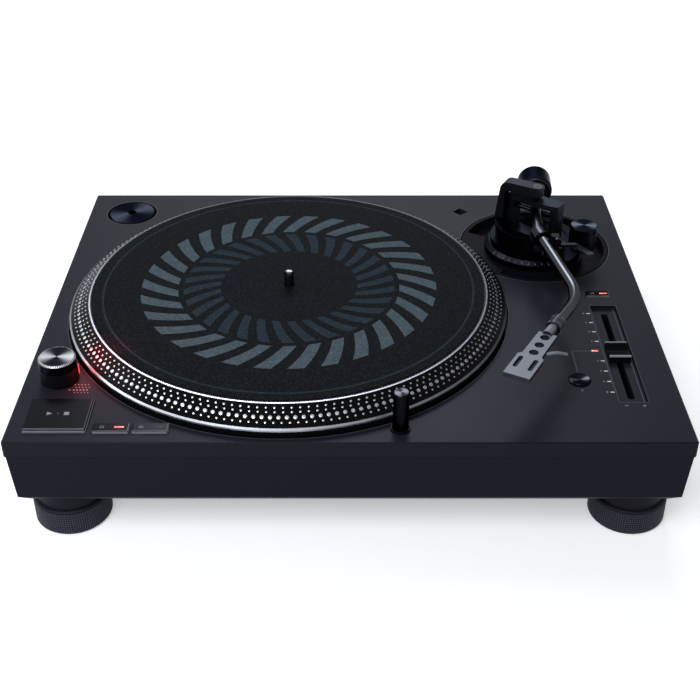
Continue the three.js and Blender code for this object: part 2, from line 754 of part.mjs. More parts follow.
function platter() {
  const slope = (PLATTER_TOP_LEVEL - PLATTER_RIM_LEVEL) / (PLATTER_RADIUS - PLATTER_TOP_RADIUS);
  const bandFoot = PLATTER_RADIUS - PLATTER_RING_WIDTH;
  const innerWall = PLATTER_RADIUS - PLATTER_WALL;
  const webEdge = PLATTER_TOP_RADIUS - PLATTER_WEB;
  return turned([
    [SPINDLE_RADIUS + SEAT, hubBottom],
    [PLATTER_HUB_RADIUS, hubBottom],
    [PLATTER_HUB_RADIUS, webBottom],
    [webEdge, webBottom],
    [innerWall, webBottom - slope * (innerWall - webEdge)],
    [innerWall, -PLATTER_RIM_DEPTH],
    [PLATTER_RADIUS, -PLATTER_RIM_DEPTH],
    [PLATTER_RADIUS, PLATTER_RIM_LEVEL],
    [bandFoot, PLATTER_RIM_LEVEL + slope * PLATTER_RING_WIDTH],
    [PLATTER_TOP_RADIUS, PLATTER_TOP_LEVEL],
    [PLATTER_TOP_RADIUS - PLATTER_LIP, PLATTER_TOP_LEVEL],
    [PLATTER_TOP_RADIUS - PLATTER_LIP, platterFloor],
    [SPINDLE_RADIUS + SEAT, platterFloor],
    [SPINDLE_RADIUS + SEAT, hubBottom],
  ], LARGE);
}

function platterGroup() {
  const centre = station(PLATTER_X, PLATTER_Y);
  place(centre, 'platter', platter(), polished);
  const matRadius = PLATTER_TOP_RADIUS - PLATTER_LIP - SLIPMAT_EDGE_GAP;
  const matLow = platterFloor + SEAT;
  const mat = ring(SPINDLE_RADIUS + RUN, matRadius, matLow, matLow + SLIPMAT_THICKNESS, LARGE);
  place(centre, 'slipmat', mat, felt);
  const dampingTop = webBottom - SEAT;
  const dampingOuter = PLATTER_TOP_RADIUS - PLATTER_WEB - DAMPING_THICKNESS;
  place(centre, 'platter_damping',
    ring(DAMPING_INNER_RADIUS, dampingOuter, dampingTop - DAMPING_THICKNESS, dampingTop), rubber);
  place(centre, 'rotor_magnet',
    ring(MAGNET_INNER_RADIUS, MAGNET_OUTER_RADIUS, dampingTop - MAGNET_HEIGHT, dampingTop), ferrite);
  const dome = SPINDLE_RADIUS / 2;
  place(centre, 'spindle', turned([
    [0, bearingBottom + BEARING_FLOOR + SEAT],
    [SHAFT_RADIUS, bearingBottom + BEARING_FLOOR + SEAT],
    [SHAFT_RADIUS, shoulderBottom],
    [SPINDLE_SHOULDER_RADIUS, shoulderBottom],
    [SPINDLE_SHOULDER_RADIUS, shoulderTop],
    [SPINDLE_RADIUS, shoulderTop],
    [SPINDLE_RADIUS, SPINDLE_LEVEL - 2 * dome],
    [SPINDLE_RADIUS * SPINDLE_TIP_SHARE, SPINDLE_LEVEL - dome / 2],
    [0, SPINDLE_LEVEL],
  ], SMALL), steel);
}

function motor() {
  const centre = station(PLATTER_X, PLATTER_Y);
  const bore = SHAFT_RADIUS + RUN;
  const wall = bore + BEARING_WALL;
  const flangeTop = boardBottom - SEAT;
  const flangeBottom = flangeTop - BEARING_FLANGE_THICKNESS;
  const top = shoulderBottom - RUN;
  place(centre, 'bearing_housing', turned([
    [0, bearingBottom],
    [wall, bearingBottom],
    [wall, flangeBottom],
    [BEARING_FLANGE_RADIUS, flangeBottom],
    [BEARING_FLANGE_RADIUS, flangeTop],
    [wall, flangeTop],
    [wall, top],
    [bore, top],
    [bore, bearingBottom + BEARING_FLOOR],
    [0, bearingBottom + BEARING_FLOOR],
  ], SMALL), brass);
  place(centre, 'motor_board', ring(wall + SEAT, MOTOR_BOARD_RADIUS, boardBottom, boardTop), board);
  const low = boardTop + SEAT;
  const slots = [];
  for (let i = 0; i < STATOR_SLOTS; i += 1) {
    slots.push(block(
      STATOR_OUTER_RADIUS - STATOR_SLOT_DEPTH, STATOR_OUTER_RADIUS + OVERRUN,
      -STATOR_SLOT_WIDTH / 2, STATOR_SLOT_WIDTH / 2, low + STATOR_HEIGHT / 4, low + STATOR_HEIGHT + OVERRUN,
    ).rotateZ(2 * Math.PI * i / STATOR_SLOTS));
  }
  const coils = ring(STATOR_INNER_RADIUS, STATOR_OUTER_RADIUS, low, low + STATOR_HEIGHT);
  place(centre, 'motor_stator', cut(coils, ...slots), copper);
}

// Electrical pieces inside and at the rear

function electrics() {
  const supplyLeft = LEFT + SUPPLY_FROM_LEFT;
  const supplyRear = REAR - SUPPLY_FROM_REAR;
  const supplyLow = FLOOR_TOP + SEAT;
  place(turntable, 'power_supply', block(
    supplyLeft, supplyLeft + SUPPLY_WIDTH, supplyRear - SUPPLY_DEPTH, supplyRear,
    supplyLow, supplyLow + SUPPLY_HEIGHT), steel);

  const middle = (terminalLow + terminalHigh) / 2;
  const tray = (width, depth, cavity) => cut(
    block(-width / 2, width / 2, terminalFace - depth, terminalFace, terminalLow, terminalHigh),
    block(-width / 2 + TERMINAL_WALL, width / 2 - TERMINAL_WALL, terminalFace - cavity,
      terminalFace + OVERRUN, terminalLow + TERMINAL_WALL, terminalHigh - TERMINAL_WALL));
  const peg = (x, radius, cavity, length) => {
    const root = terminalFace - cavity - TERMINAL_WALL / 2;
    return cylinder(radius, 0, length + TERMINAL_WALL / 2, PEG)
      .rotateX(-Math.PI / 2).translate(x, root, middle);
  };

  const inlet = join(
    tray(INLET_WIDTH, INLET_DEPTH, INLET_CAVITY),
    peg(-INLET_PIN_SPACING / 2, INLET_PIN_RADIUS, INLET_CAVITY, INLET_PIN_LENGTH),
    peg(INLET_PIN_SPACING / 2, INLET_PIN_RADIUS, INLET_CAVITY, INLET_PIN_LENGTH));
  place(turntable, 'ac_inlet', inlet, blackPlastic).position.x = -INLET_FROM_CENTRE;

  const cavity = PHONO_DEPTH - TERMINAL_WALL;
  const screwX = PHONO_WIDTH / 2 - JACK_SPACING / 2;
  const screwBore = cylinder(GROUND_SHANK_RADIUS + RUN, 0, TERMINAL_WALL + 2 * OVERRUN, PEG)
    .rotateX(-Math.PI / 2).translate(screwX, terminalFace - PHONO_DEPTH - OVERRUN, middle);
  const terminals = cut(join(
    tray(PHONO_WIDTH, PHONO_DEPTH, cavity),
    peg(-JACK_SPACING, JACK_RADIUS, cavity, JACK_LENGTH),
    peg(0, JACK_RADIUS, cavity, JACK_LENGTH)), screwBore);
  place(turntable, 'phono_terminal', terminals, blackPlastic).position.x = PHONO_FROM_CENTRE;

  const screwSeat = terminalFace - cavity + SEAT;
  const screw = join(
    cylinder(GROUND_SCREW_RADIUS, 0, GROUND_SCREW_LENGTH, SMALL),
    cylinder(GROUND_SHANK_RADIUS, -TERMINAL_WALL - SEAT, GROUND_SCREW_LENGTH / 2, PEG));
  place(turntable, 'ground_screw',
    screw.rotateX(-Math.PI / 2).translate(PHONO_FROM_CENTRE + screwX, screwSeat, middle), steel);
}

// Buttons

function button(name, x, y, width, depth, proud, bevel, material) {
  const key = lofted(width, depth, BUTTON_CORNER, [
    [-BUTTON_BODY_DEPTH, 0],
    [proud - bevel, 0],
    [proud, bevel],
  ], KEY_FACETS);
  place(station(x, y), name, key, material);
}

function buttons() {
  button('start_stop_button', startX, startY, START_WIDTH, START_DEPTH,
    START_PROUD, START_BEVEL, glossPlastic);
  for (const [name, x] of [['speed_33_button', speed33X], ['speed_45_button', speed45X]]) {
    button(name, x, speedY, SPEED_WIDTH, SPEED_DEPTH, SPEED_PROUD, SPEED_BEVEL, glossPlastic);
  }
  button('pitch_range_button', rangeX, rangeY, RANGE_WIDTH, RANGE_DEPTH,
    RANGE_PROUD, SPEED_BEVEL, blackPlastic);
  place(station(resetX, resetY), 'reset_button', turned([
    [0, -BUTTON_BODY_DEPTH],
    [RESET_RADIUS, -BUTTON_BODY_DEPTH],
    [RESET_RADIUS, RESET_PROUD - SPEED_BEVEL],
    [RESET_RADIUS - SPEED_BEVEL, RESET_PROUD],
    [RESET_RADIUS / 2, RESET_PROUD - SPEED_BEVEL],
    [0, RESET_PROUD - SPEED_BEVEL],
  ], KNOB), blackPlastic);
}

// Pitch fader

function fader() {
  const spot = station(faderX, faderY);
  const low = FADER_PANEL_LEVEL - FADER_PANEL_THICKNESS;
  const slot = (extra) => prism(roundedRectangle(
    FADER_SLOT_WIDTH, FADER_SLOT_LENGTH, FADER_SLOT_WIDTH / 2 * SLOT_END_SHARE),
    low - extra, OVERRUN, SLOT_FACETS);
  const panel = prism(
    roundedRectangle(FADER_WIDTH - 2 * SEAT, FADER_LENGTH - 2 * SEAT, BUTTON_CORNER - SEAT),
    low, FADER_PANEL_LEVEL, KEY_FACETS);
  place(spot, 'fader_panel', cut(panel, slot(OVERRUN)), greyPlate);
  const unitTop = low - SEAT;
  const halfWidth = FADER_WIDTH / 2 - FADER_UNIT_WALL;
  const halfLength = FADER_LENGTH / 2 - FADER_UNIT_WALL;
  const unit = block(-halfWidth, halfWidth, -halfLength, halfLength, unitTop - FADER_UNIT_HEIGHT, unitTop);
  place(spot, 'fader_unit', cut(unit, slot(FADER_UNIT_HEIGHT - FADER_UNIT_WALL)), blackPlastic);

  const bottom = FADER_PANEL_LEVEL + RUN;
  const ridge = KNOB_RIDGE;
  const half = KNOB_LENGTH / 2;
  const side = new THREE.Shape();
  side.moveTo(-half, bottom);
  side.lineTo(half, bottom);
  side.lineTo(half - ridge / 2, bottom + KNOB_HEIGHT);
  side.lineTo(half - ridge * 1.5, bottom + KNOB_HEIGHT);
  side.quadraticCurveTo(0, bottom + KNOB_HEIGHT - 2 * KNOB_DIP, -half + ridge * 1.5, bottom + KNOB_HEIGHT);
  side.lineTo(-half + ridge / 2, bottom + KNOB_HEIGHT);
  const stem = block(
    -STEM_WIDTH / 2, STEM_WIDTH / 2, -STEM_LENGTH / 2, STEM_LENGTH / 2,
    bottom - STEM_DEPTH, bottom + KNOB_HEIGHT / 4);
  const cap = prismAlongX(side, -KNOB_WIDTH / 2, KNOB_WIDTH / 2, BROAD_CORNER);
  place(station(faderX, faderY + KNOB_FROM_CENTRE), 'pitch_slider', join(cap, stem), glossPlastic);
}

// Strobe pod, its window and the power knob

function strobe() {
  const spot = station(podX, podY);
  const outer = POD_RADIUS - WINDOW_PROUD;
  const windowLow = SEAT + WINDOW_LIFT;
  const windowHigh = windowLow + WINDOW_HEIGHT;
  const spread = WINDOW_SPREAD / 2;
  const seatAngle = SEAT / POD_RADIUS * 180 / Math.PI;
  const shaftBore = POWER_SHAFT_RADIUS + RUN;
  const floor = SEAT + POD_HEIGHT - POWER_SHAFT_LENGTH - SEAT;
  const body = turned([
    [0, -DECK_THICKNESS],
    [POD_SPIGOT_RADIUS, -DECK_THICKNESS],
    [POD_SPIGOT_RADIUS, SEAT],
    [outer, SEAT],
    [outer, SEAT + POD_HEIGHT],
    [shaftBore, SEAT + POD_HEIGHT],
    [shaftBore, floor],
    [0, floor],
  ]);
  const niche = (grow, inner) => common(
    sector(POD_RADIUS + OVERRUN, WINDOW_ANGLE - spread - grow * seatAngle,
      WINDOW_ANGLE + spread + grow * seatAngle, windowLow - grow * SEAT, windowHigh + grow * SEAT),
    ring(inner, POD_RADIUS + grow * OVERRUN, windowLow - OVERRUN, windowHigh + OVERRUN));
  place(spot, 'strobe_pod', cut(body, niche(1, outer - WINDOW_THICKNESS - SEAT)), blackPlastic);
  place(spot, 'strobe_window', niche(0, outer - WINDOW_THICKNESS), redLens);

  const low = SEAT + POD_HEIGHT + RUN;
  const high = low + POWER_KNOB_HEIGHT;
  place(spot, 'power_knob', turned([
    [0, low - POWER_SHAFT_LENGTH],
    [POWER_SHAFT_RADIUS, low - POWER_SHAFT_LENGTH],
    [POWER_SHAFT_RADIUS, low],
    [POWER_KNOB_RADIUS, low],
    [POWER_KNOB_RADIUS, high - POWER_KNOB_BEVEL],
    [POWER_KNOB_RADIUS - POWER_KNOB_BEVEL, high],
    [0, high],
  ]), satin);
}

function stylusLight() {
  const spot = station(lightX, lightY);
  const bore = LIGHT_RADIUS + RUN;
  const low = bearingBottom;
  place(spot, 'light_sleeve', turned([
    [0, low],
    [LIGHT_SLEEVE_RADIUS, low],
    [LIGHT_SLEEVE_RADIUS, LIGHT_SLEEVE_PROUD],
    [bore, LIGHT_SLEEVE_PROUD],
    [bore, low + TERMINAL_WALL / 2],
    [0, low + TERMINAL_WALL / 2],
  ], POST), blackPlastic);
  const edge = LIGHT_FLAT_DEPTH;
  const post = turned([
    [0, LIGHT_LEVEL - LIGHT_LENGTH],
    [LIGHT_RADIUS, LIGHT_LEVEL - LIGHT_LENGTH],
    [LIGHT_RADIUS, LIGHT_LEVEL - edge],
    [LIGHT_RADIUS - edge, LIGHT_LEVEL],
    [0, LIGHT_LEVEL],
  ], POST);
  const flat = block(
    -LIGHT_RADIUS, LIGHT_RADIUS, LIGHT_RADIUS - LIGHT_FLAT_DEPTH, LIGHT_RADIUS + OVERRUN,
    LIGHT_LEVEL - LIGHT_FLAT_HEIGHT - 2 * edge, LIGHT_LEVEL - 2 * edge);
  place(spot, 'target_light', cut(post, flat), blackPaint);
}

function adapterAndSocket() {
  const low = -ADAPTER_POCKET_DEPTH + SEAT;
  const high = low + ADAPTER_HEIGHT;
  place(station(adapterX, adapterY), 'adapter_45', turned([
    [ADAPTER_BORE_RADIUS, low],
    [ADAPTER_RADIUS, low],
    [ADAPTER_RADIUS, high - ADAPTER_BEVEL],
    [ADAPTER_RADIUS - ADAPTER_BEVEL, high],
    [ADAPTER_BORE_RADIUS, high],
    [ADAPTER_BORE_RADIUS, low],
  ]), satin);
  const top = -DECK_THICKNESS - SEAT;
  place(station(socketX, socketY), 'headshell_socket', turned([
    [0, top - SOCKET_DEPTH - SOCKET_WALL],
    [SOCKET_RADIUS + SOCKET_WALL, top - SOCKET_DEPTH - SOCKET_WALL],
    [SOCKET_RADIUS + SOCKET_WALL, top],
    [SOCKET_RADIUS, top],
    [SOCKET_RADIUS, top - SOCKET_DEPTH],
    [0, top - SOCKET_DEPTH],
  ], POST), blackPlastic);
}

// Tonearm base

const flangeLow = RUN + HEIGHT_RING_HEIGHT + RUN;
const flangeHigh = flangeLow + BASE_FLANGE_THICKNESS;
const cupTop = flangeLow + CUP_HEIGHT;
const cupFloor = flangeHigh - BASE_FLANGE_THICKNESS / 4;
const gimbalTop = BRACKET_LEVEL - BRACKET_ARM - GIMBAL_TO_BRACKET;
const gimbalBottom = cupFloor + GIMBAL_TO_FLOOR;
const plateLow = flangeHigh + SEAT;
const plateHigh = plateLow + PLATE_THICKNESS;

function armWell() {
  const low = -DECK_THICKNESS;
  const well = station(armWellX, armWellY);
  const top = ARM_WELL_RADIUS - PAN_LIP;
  const flange = ARM_WELL_RADIUS - SEAT;
  const pan = turned([
    [0, low], [flange, low], [flange, PAN_FLANGE_LEVEL], [top, PAN_FLANGE_LEVEL], [top, 0], [0, 0],
  ], LARGE);
  const recess = cut(
    cylinder(PAN_RECESS_OUTER_RADIUS, -PAN_RECESS_DEPTH, OVERRUN, LARGE),
    cylinder(PAN_RECESS_INNER_RADIUS, low, 2 * OVERRUN, MEDIUM)
      .translate(-ARM_WELL_OFFSET_X, -ARM_WELL_OFFSET_Y, 0),
    sector(2 * ARM_WELL_RADIUS, PLATEAU_START, PLATEAU_END, low, 2 * OVERRUN)
      .translate(-ARM_WELL_OFFSET_X, -ARM_WELL_OFFSET_Y, 0));
  place(well, 'arm_well_pan', cut(
    pan,
    recess,
    cylinder(COLLAR_RADIUS + RUN, low - OVERRUN, OVERRUN)
      .translate(-ARM_WELL_OFFSET_X, -ARM_WELL_OFFSET_Y, 0),
    cylinder(WELL_RADIUS, -WELL_DEPTH, OVERRUN, LARGE)
      .translate(PLATTER_X - armWellX, PLATTER_Y - armWellY, 0),
    cylinder(GROUND_SHANK_RADIUS + RUN, low - OVERRUN, OVERRUN, PEG)
      .translate(LOCK_X - ARM_WELL_OFFSET_X, LOCK_Y - ARM_WELL_OFFSET_Y, 0),
  ), blackPaint);

  const pivot = station(PIVOT_X, PIVOT_Y);
  const bore = COLLAR_RADIUS + RUN;
  const ringTop = RUN + HEIGHT_RING_HEIGHT;
  place(pivot, 'height_ring', turned([
    [bore, RUN],
    [HEIGHT_RING_RADIUS - HEIGHT_RING_STEP, RUN],
    [HEIGHT_RING_RADIUS, RUN + HEIGHT_RING_STEP],
    [HEIGHT_RING_RADIUS, ringTop - HEIGHT_RING_LIP],
    [HEIGHT_RING_RADIUS - HEIGHT_RING_LIP, ringTop],
    [bore, ringTop],
    [bore, RUN],
  ], LARGE / 2), blackPaint);

  const lock = station(PIVOT_X + LOCK_X, PIVOT_Y + LOCK_Y);
  const lockLow = -PAN_RECESS_DEPTH + RUN;
  const lockHigh = lockLow + LOCK_HEIGHT;
  place(lock, 'height_lock_lever', join(
    cylinder(LOCK_RADIUS, lockLow, lockHigh),
    cylinder(GROUND_SHANK_RADIUS, low, lockLow + LOCK_HEIGHT / 2, PEG),
    block(0, LOCK_HANDLE_LENGTH, -LOCK_HANDLE_WIDTH / 2, LOCK_HANDLE_WIDTH / 2,
      lockHigh - LOCK_HANDLE_WIDTH, lockHigh)), blackPlastic);
}

function cupGeometry() {
  const rim = cupTop - CUP_RIM_HEIGHT;
  const inner = CUP_RADIUS - CUP_WALL;
  const pin = PIVOT_PIN_RADIUS;
  const cup = turned([
    [0, -COLLAR_DEPTH],
    [COLLAR_RADIUS, -COLLAR_DEPTH],
    [COLLAR_RADIUS, flangeLow],
    [BASE_FLANGE_RADIUS, flangeLow],
    [BASE_FLANGE_RADIUS, flangeHigh],
    [CUP_RADIUS, flangeHigh],
    [CUP_RADIUS, rim],
    [CUP_RIM_RADIUS, rim],
    [CUP_RIM_RADIUS, cupTop],
    [inner, cupTop],
    [inner, cupFloor],
    [pin, cupFloor],
    [pin, gimbalBottom + PIVOT_PIN_BITE - SEAT],
    [0, gimbalBottom + PIVOT_PIN_BITE - SEAT],
  ], LARGE / 2);
  const gate = cut(
    sector(BASE_FLANGE_RADIUS + OVERRUN, CUP_OPEN_START, CUP_OPEN_END, flangeHigh, cupTop + OVERRUN),
    cylinder(inner - OVERRUN, cupFloor - OVERRUN, cupTop + 2 * OVERRUN));
  return cut(cup, gate);
}

function bracketGeometry() {
  const inner = BRACKET_REACH - BRACKET_PILLAR;
  const low = cupTop + SEAT;
  const under = BRACKET_LEVEL - BRACKET_ARM;
  const shoulder = -BRACKET_REACH + BRACKET_TAPER;
  const lean = BRACKET_TAPER * BRACKET_CORNER / (BRACKET_LEVEL - low);
  const side = new THREE.Shape();
  side.moveTo(-BRACKET_REACH, low);
  side.lineTo(-inner, low);
  side.lineTo(-inner, under);
  side.lineTo(0, under);
  side.lineTo(0, BRACKET_LEVEL);
  side.lineTo(shoulder + BRACKET_CORNER, BRACKET_LEVEL);
  side.quadraticCurveTo(shoulder, BRACKET_LEVEL, shoulder - lean, BRACKET_LEVEL - BRACKET_CORNER);
  const yoke = join(
    prismAlongY(side, -BRACKET_WIDTH / 2, BRACKET_WIDTH / 2),
    cylinder(BRACKET_WIDTH / 2, under, BRACKET_LEVEL));
  return cut(
    yoke,
    cylinder(PIVOT_PIN_RADIUS + SEAT, under - OVERRUN, BRACKET_LEVEL + OVERRUN),
    cylinder(PIVOT_SCREW_RADIUS + SEAT, BRACKET_LEVEL - PIVOT_SCREW_HEAD - SEAT, BRACKET_LEVEL + OVERRUN));
}

function sidePlateGeometry() {
  const shape = new THREE.Shape();
  shape.moveTo(SKATE_X - SKATE_RADIUS, SKATE_Y + SKATE_RADIUS);
  shape.lineTo(SKATE_X, SKATE_Y + SKATE_RADIUS);
  shape.absarc(SKATE_X, SKATE_Y, SKATE_RADIUS, Math.PI / 2, -Math.PI / 3, true);
  shape.lineTo(LEVER_X + LEVER_HUB_WIDTH, LEVER_Y - LEVER_HUB_RADIUS);
  shape.lineTo(REST_X + REST_RADIUS + REST_WALL, POST_Y - REST_RADIUS);
  shape.lineTo(REST_X - REST_RADIUS - REST_WALL, POST_Y - REST_RADIUS);
  shape.lineTo(LIFT_X - LIFT_ROD_RADIUS - REST_WALL, LIFT_Y);
  const plate = join(
    prism(shape, plateLow, plateHigh, BROAD_CORNER),
    cylinder(SKATE_RADIUS, plateLow, plateLow + SKATE_HEIGHT, KNOB).translate(SKATE_X, SKATE_Y, 0));
  const leverSlot = LEVER_HUB_RADIUS + 3 * SEAT;
  const halfWidth = LEVER_HUB_WIDTH / 2 + SEAT;
  return cut(
    plate,
    cylinder(CUP_RADIUS + SEAT, plateLow - OVERRUN, plateHigh + SKATE_HEIGHT + OVERRUN, MEDIUM),
    cylinder(SKATE_PIN_RADIUS + RUN, plateLow + SKATE_HEIGHT - SKATE_PIN_LENGTH - RUN,
      plateLow + SKATE_HEIGHT + OVERRUN).translate(SKATE_X, SKATE_Y, 0),
    cylinder(LIFT_ROD_RADIUS + RUN, plateLow - OVERRUN, plateHigh + OVERRUN)
      .translate(LIFT_X, LIFT_Y, 0),
    cylinder(leverSlot, -halfWidth, halfWidth).rotateX(Math.PI / 2).rotateZ(radians(LEVER_ANGLE))
      .translate(LEVER_X, LEVER_Y, plateHigh),
    block(0, LEVER_LENGTH, -halfWidth, halfWidth, -PLATE_THICKNESS - OVERRUN, OVERRUN)
      .rotateZ(radians(LEVER_ANGLE)).translate(LEVER_X, LEVER_Y, plateHigh));
}

// The rest holds the tube on a pad, with a wall on its outer side that carries the clip's pin

const restPad = ARM_LEVEL - TUBE_RADIUS - SEAT;
const tubeAtRest = (-REST_Y - HUB_FRONT) * Math.tan(radians(CUFF_ANGLE + ARM_ANGLE))
  - HUB_FRONT * Math.sin(radians(-ARM_ANGLE));
const restWallX = tubeAtRest + TUBE_RADIUS / Math.cos(radians(CUFF_ANGLE)) + 3 * SEAT;
const clipPinLevel = ARM_LEVEL + TUBE_RADIUS - CLIP_THICKNESS / 2;
const clipPinX = restWallX + CLIP_HUB_RADIUS + 4 * SEAT;

function restGeometry() {
  const low = plateHigh + SEAT;
  const half = REST_CRADLE_WIDTH / 2;
  const padLow = restPad - REST_CRADLE_THICKNESS;
  return join(
    cylinder(REST_RADIUS, low, restPad).translate(REST_X, POST_Y, 0),
    block(REST_X - REST_RADIUS, REST_X, REST_Y - half, POST_Y, padLow, restPad),
    block(tubeAtRest - REST_REACH, REST_X, REST_Y - half, REST_Y + half, padLow, restPad),
    block(restWallX, restWallX + 2 * CLIP_HUB_RADIUS, REST_Y - half, REST_Y + half,
      padLow, clipPinLevel + CLIP_HUB_RADIUS),
    cylinder(CLIP_PIN_RADIUS, 0, half + CLIP_WIDTH).rotateX(Math.PI / 2)
      .translate(clipPinX, REST_Y, clipPinLevel));
}

function clipGeometry() {
  const front = REST_Y - REST_CRADLE_WIDTH / 2 - SEAT - CLIP_WIDTH;
  const rear = front + CLIP_WIDTH - SEAT;
  const under = CLIP_THICKNESS;
  const bar = outline([
    [0, -under], [CLIP_LENGTH, -under], [CLIP_LENGTH, -under - CLIP_THICKNESS], [0, -under - CLIP_THICKNESS],
  ]);
  const parts = join(
    prismAlongY(bar, front, rear),
    cylinder(CLIP_HUB_RADIUS, -rear, -front).rotateX(Math.PI / 2));
  const bore = cylinder(CLIP_PIN_RADIUS + SEAT, -rear - OVERRUN, -front + OVERRUN);
  const clip = cut(parts, bore.rotateX(Math.PI / 2));
  return clip.translate(clipPinX, 0, clipPinLevel);
}

function armBase() {
  const pivot = station(PIVOT_X, PIVOT_Y);
  place(pivot, 'arm_base', cupGeometry(), blackPaint);
  const bracket = station(0, 0, BRACKET_ANGLE, pivot, 0);
  place(bracket, 'gimbal_bracket', bracketGeometry(), blackPaint);
  const headLow = BRACKET_LEVEL - PIVOT_SCREW_HEAD;
  place(pivot, 'top_pivot_screw', join(
    cylinder(PIVOT_SCREW_RADIUS, headLow, BRACKET_LEVEL),
    cylinder(PIVOT_PIN_RADIUS, gimbalTop - PIVOT_PIN_BITE + SEAT, headLow + PIVOT_SCREW_HEAD / 2)), steel);
  place(pivot, 'arm_side_plate', sidePlateGeometry(), greyPlate);
  place(pivot, 'arm_rest_post', restGeometry(), blackPlastic);
  place(pivot, 'rest_clip', clipGeometry(), steel);

  const knobLow = plateLow + SKATE_HEIGHT + RUN;
  const knobHigh = knobLow + SKATE_KNOB_HEIGHT;
  const skate = station(SKATE_X, SKATE_Y, 0, pivot, 0);
  place(skate, 'antiskate_knob', turned([
    [0, knobLow - SKATE_PIN_LENGTH],
    [SKATE_PIN_RADIUS, knobLow - SKATE_PIN_LENGTH],
    [SKATE_PIN_RADIUS, knobLow],
    [SKATE_KNOB_RADIUS, knobLow],
    [SKATE_KNOB_RADIUS, knobHigh - SKATE_KNOB_BEVEL],
    [SKATE_KNOB_RADIUS - SKATE_KNOB_BEVEL, knobHigh],
    [0, knobHigh],
  ], KNOB), satin);

  const barHigh = ARM_LEVEL - HUB_RADIUS - LIFT_TRAVEL - LIFT_TOUCH;
  const barLow = barHigh - LIFT_BAR_HEIGHT;
  const lift = station(LIFT_X, LIFT_Y, 0, pivot, 0);
  place(lift, 'cue_lift', join(
    cylinder(LIFT_ROD_RADIUS, plateLow, barHigh),
    block(-LIFT_BAR_REACH, LIFT_ROD_RADIUS, -LIFT_BAR_WIDTH / 2, LIFT_BAR_WIDTH / 2, barLow, barHigh),
  ), blackPlastic);

  const lever = station(LEVER_X, LEVER_Y, LEVER_ANGLE, pivot, plateHigh);
  place(lever, 'cue_lever', join(
    cylinder(LEVER_HUB_RADIUS, -LEVER_HUB_WIDTH / 2, LEVER_HUB_WIDTH / 2).rotateX(Math.PI / 2),
    block(0, LEVER_LENGTH, -LEVER_BLADE_WIDTH / 2, LEVER_BLADE_WIDTH / 2,
      LEVER_HUB_RADIUS - LEVER_BLADE_THICKNESS, LEVER_HUB_RADIUS)), greyPlate);
}

// Gimbal frame: a ring open to the front and rear, turning about the vertical pivot

const axleHole = LIFT_AXLE_RADIUS + RUN;

function gimbalGeometry() {
  const half = GIMBAL_HALF_WIDTH;
  const depth = GIMBAL_HALF_DEPTH;
  const plan = new THREE.Shape();
  plan.moveTo(-half, depth);
  plan.lineTo(-half, -depth);
  plan.quadraticCurveTo(0, -depth - 2 * GIMBAL_BULGE, half, -depth);
  plan.lineTo(half, depth);
  const frame = prism(plan, gimbalBottom, gimbalTop, BROAD_CORNER);
  const window = block(
    -half + GIMBAL_SIDE, half - GIMBAL_SIDE,
    -depth - GIMBAL_BULGE - OVERRUN, depth + OVERRUN,
    gimbalBottom + GIMBAL_BAR, gimbalTop - GIMBAL_BAR);
  const pinHole = PIVOT_PIN_RADIUS + RUN;
  return cut(
    frame,
    window,
    cylinder(axleHole, -half - OVERRUN, half + OVERRUN).rotateY(Math.PI / 2).translate(0, 0, ARM_LEVEL),
    cylinder(pinHole, gimbalBottom - OVERRUN, gimbalBottom + PIVOT_PIN_BITE),
    cylinder(pinHole, gimbalTop - PIVOT_PIN_BITE, gimbalTop + OVERRUN));
}

// Tonearm: local -Y runs forward from the pivot along the hub, and its height is the arm's axis

function tubePath() {
  const start = radians(CUFF_ANGLE);
  const end = radians(TUBE_END_ANGLE);
  const turn = start - end;
  const tangent = TUBE_BEND_RADIUS * Math.tan(turn / 2);
  const ahead = (point, angle, length) =>
    new THREE.Vector2(point.x + length * Math.sin(angle), point.y - length * Math.cos(angle));
  const root = new THREE.Vector2(0, -HUB_FRONT);
  const corner = ahead(root, start, TUBE_STRAIGHT);
  const first = ahead(root, start, CUFF_LENGTH - CUFF_BORE_DEPTH + SEAT);
  const bendStart = ahead(corner, start, -tangent);
  const bendEnd = ahead(corner, end, tangent);
  const last = ahead(corner, end, TUBE_TAIL);
  return { root, corner, first, bendStart, bendEnd, last, end, start };
}

const path = tubePath();

class ArmCurve extends THREE.Curve {
  getPoint(t) {
    const turn = path.start - path.end;
    const bend = TUBE_BEND_RADIUS * turn;
    const front = path.first.distanceTo(path.bendStart);
    const tail = path.bendEnd.distanceTo(path.last);
    const along = t * (front + bend + tail);
    if (along <= front) {
      const point = path.first.clone().lerp(path.bendStart, along / front);
      return new THREE.Vector3(point.x, point.y, 0);
    }
    if (along >= front + bend) {
      const point = path.bendEnd.clone().lerp(path.last, (along - front - bend) / tail);
      return new THREE.Vector3(point.x, point.y, 0);
    }
    const angle = path.start - (along - front) / TUBE_BEND_RADIUS;
    const centreX = path.bendStart.x - TUBE_BEND_RADIUS * Math.cos(path.start);
    const centreY = path.bendStart.y - TUBE_BEND_RADIUS * Math.sin(path.start);
    return new THREE.Vector3(
      centreX + TUBE_BEND_RADIUS * Math.cos(angle), centreY + TUBE_BEND_RADIUS * Math.sin(angle), 0);
  }
}

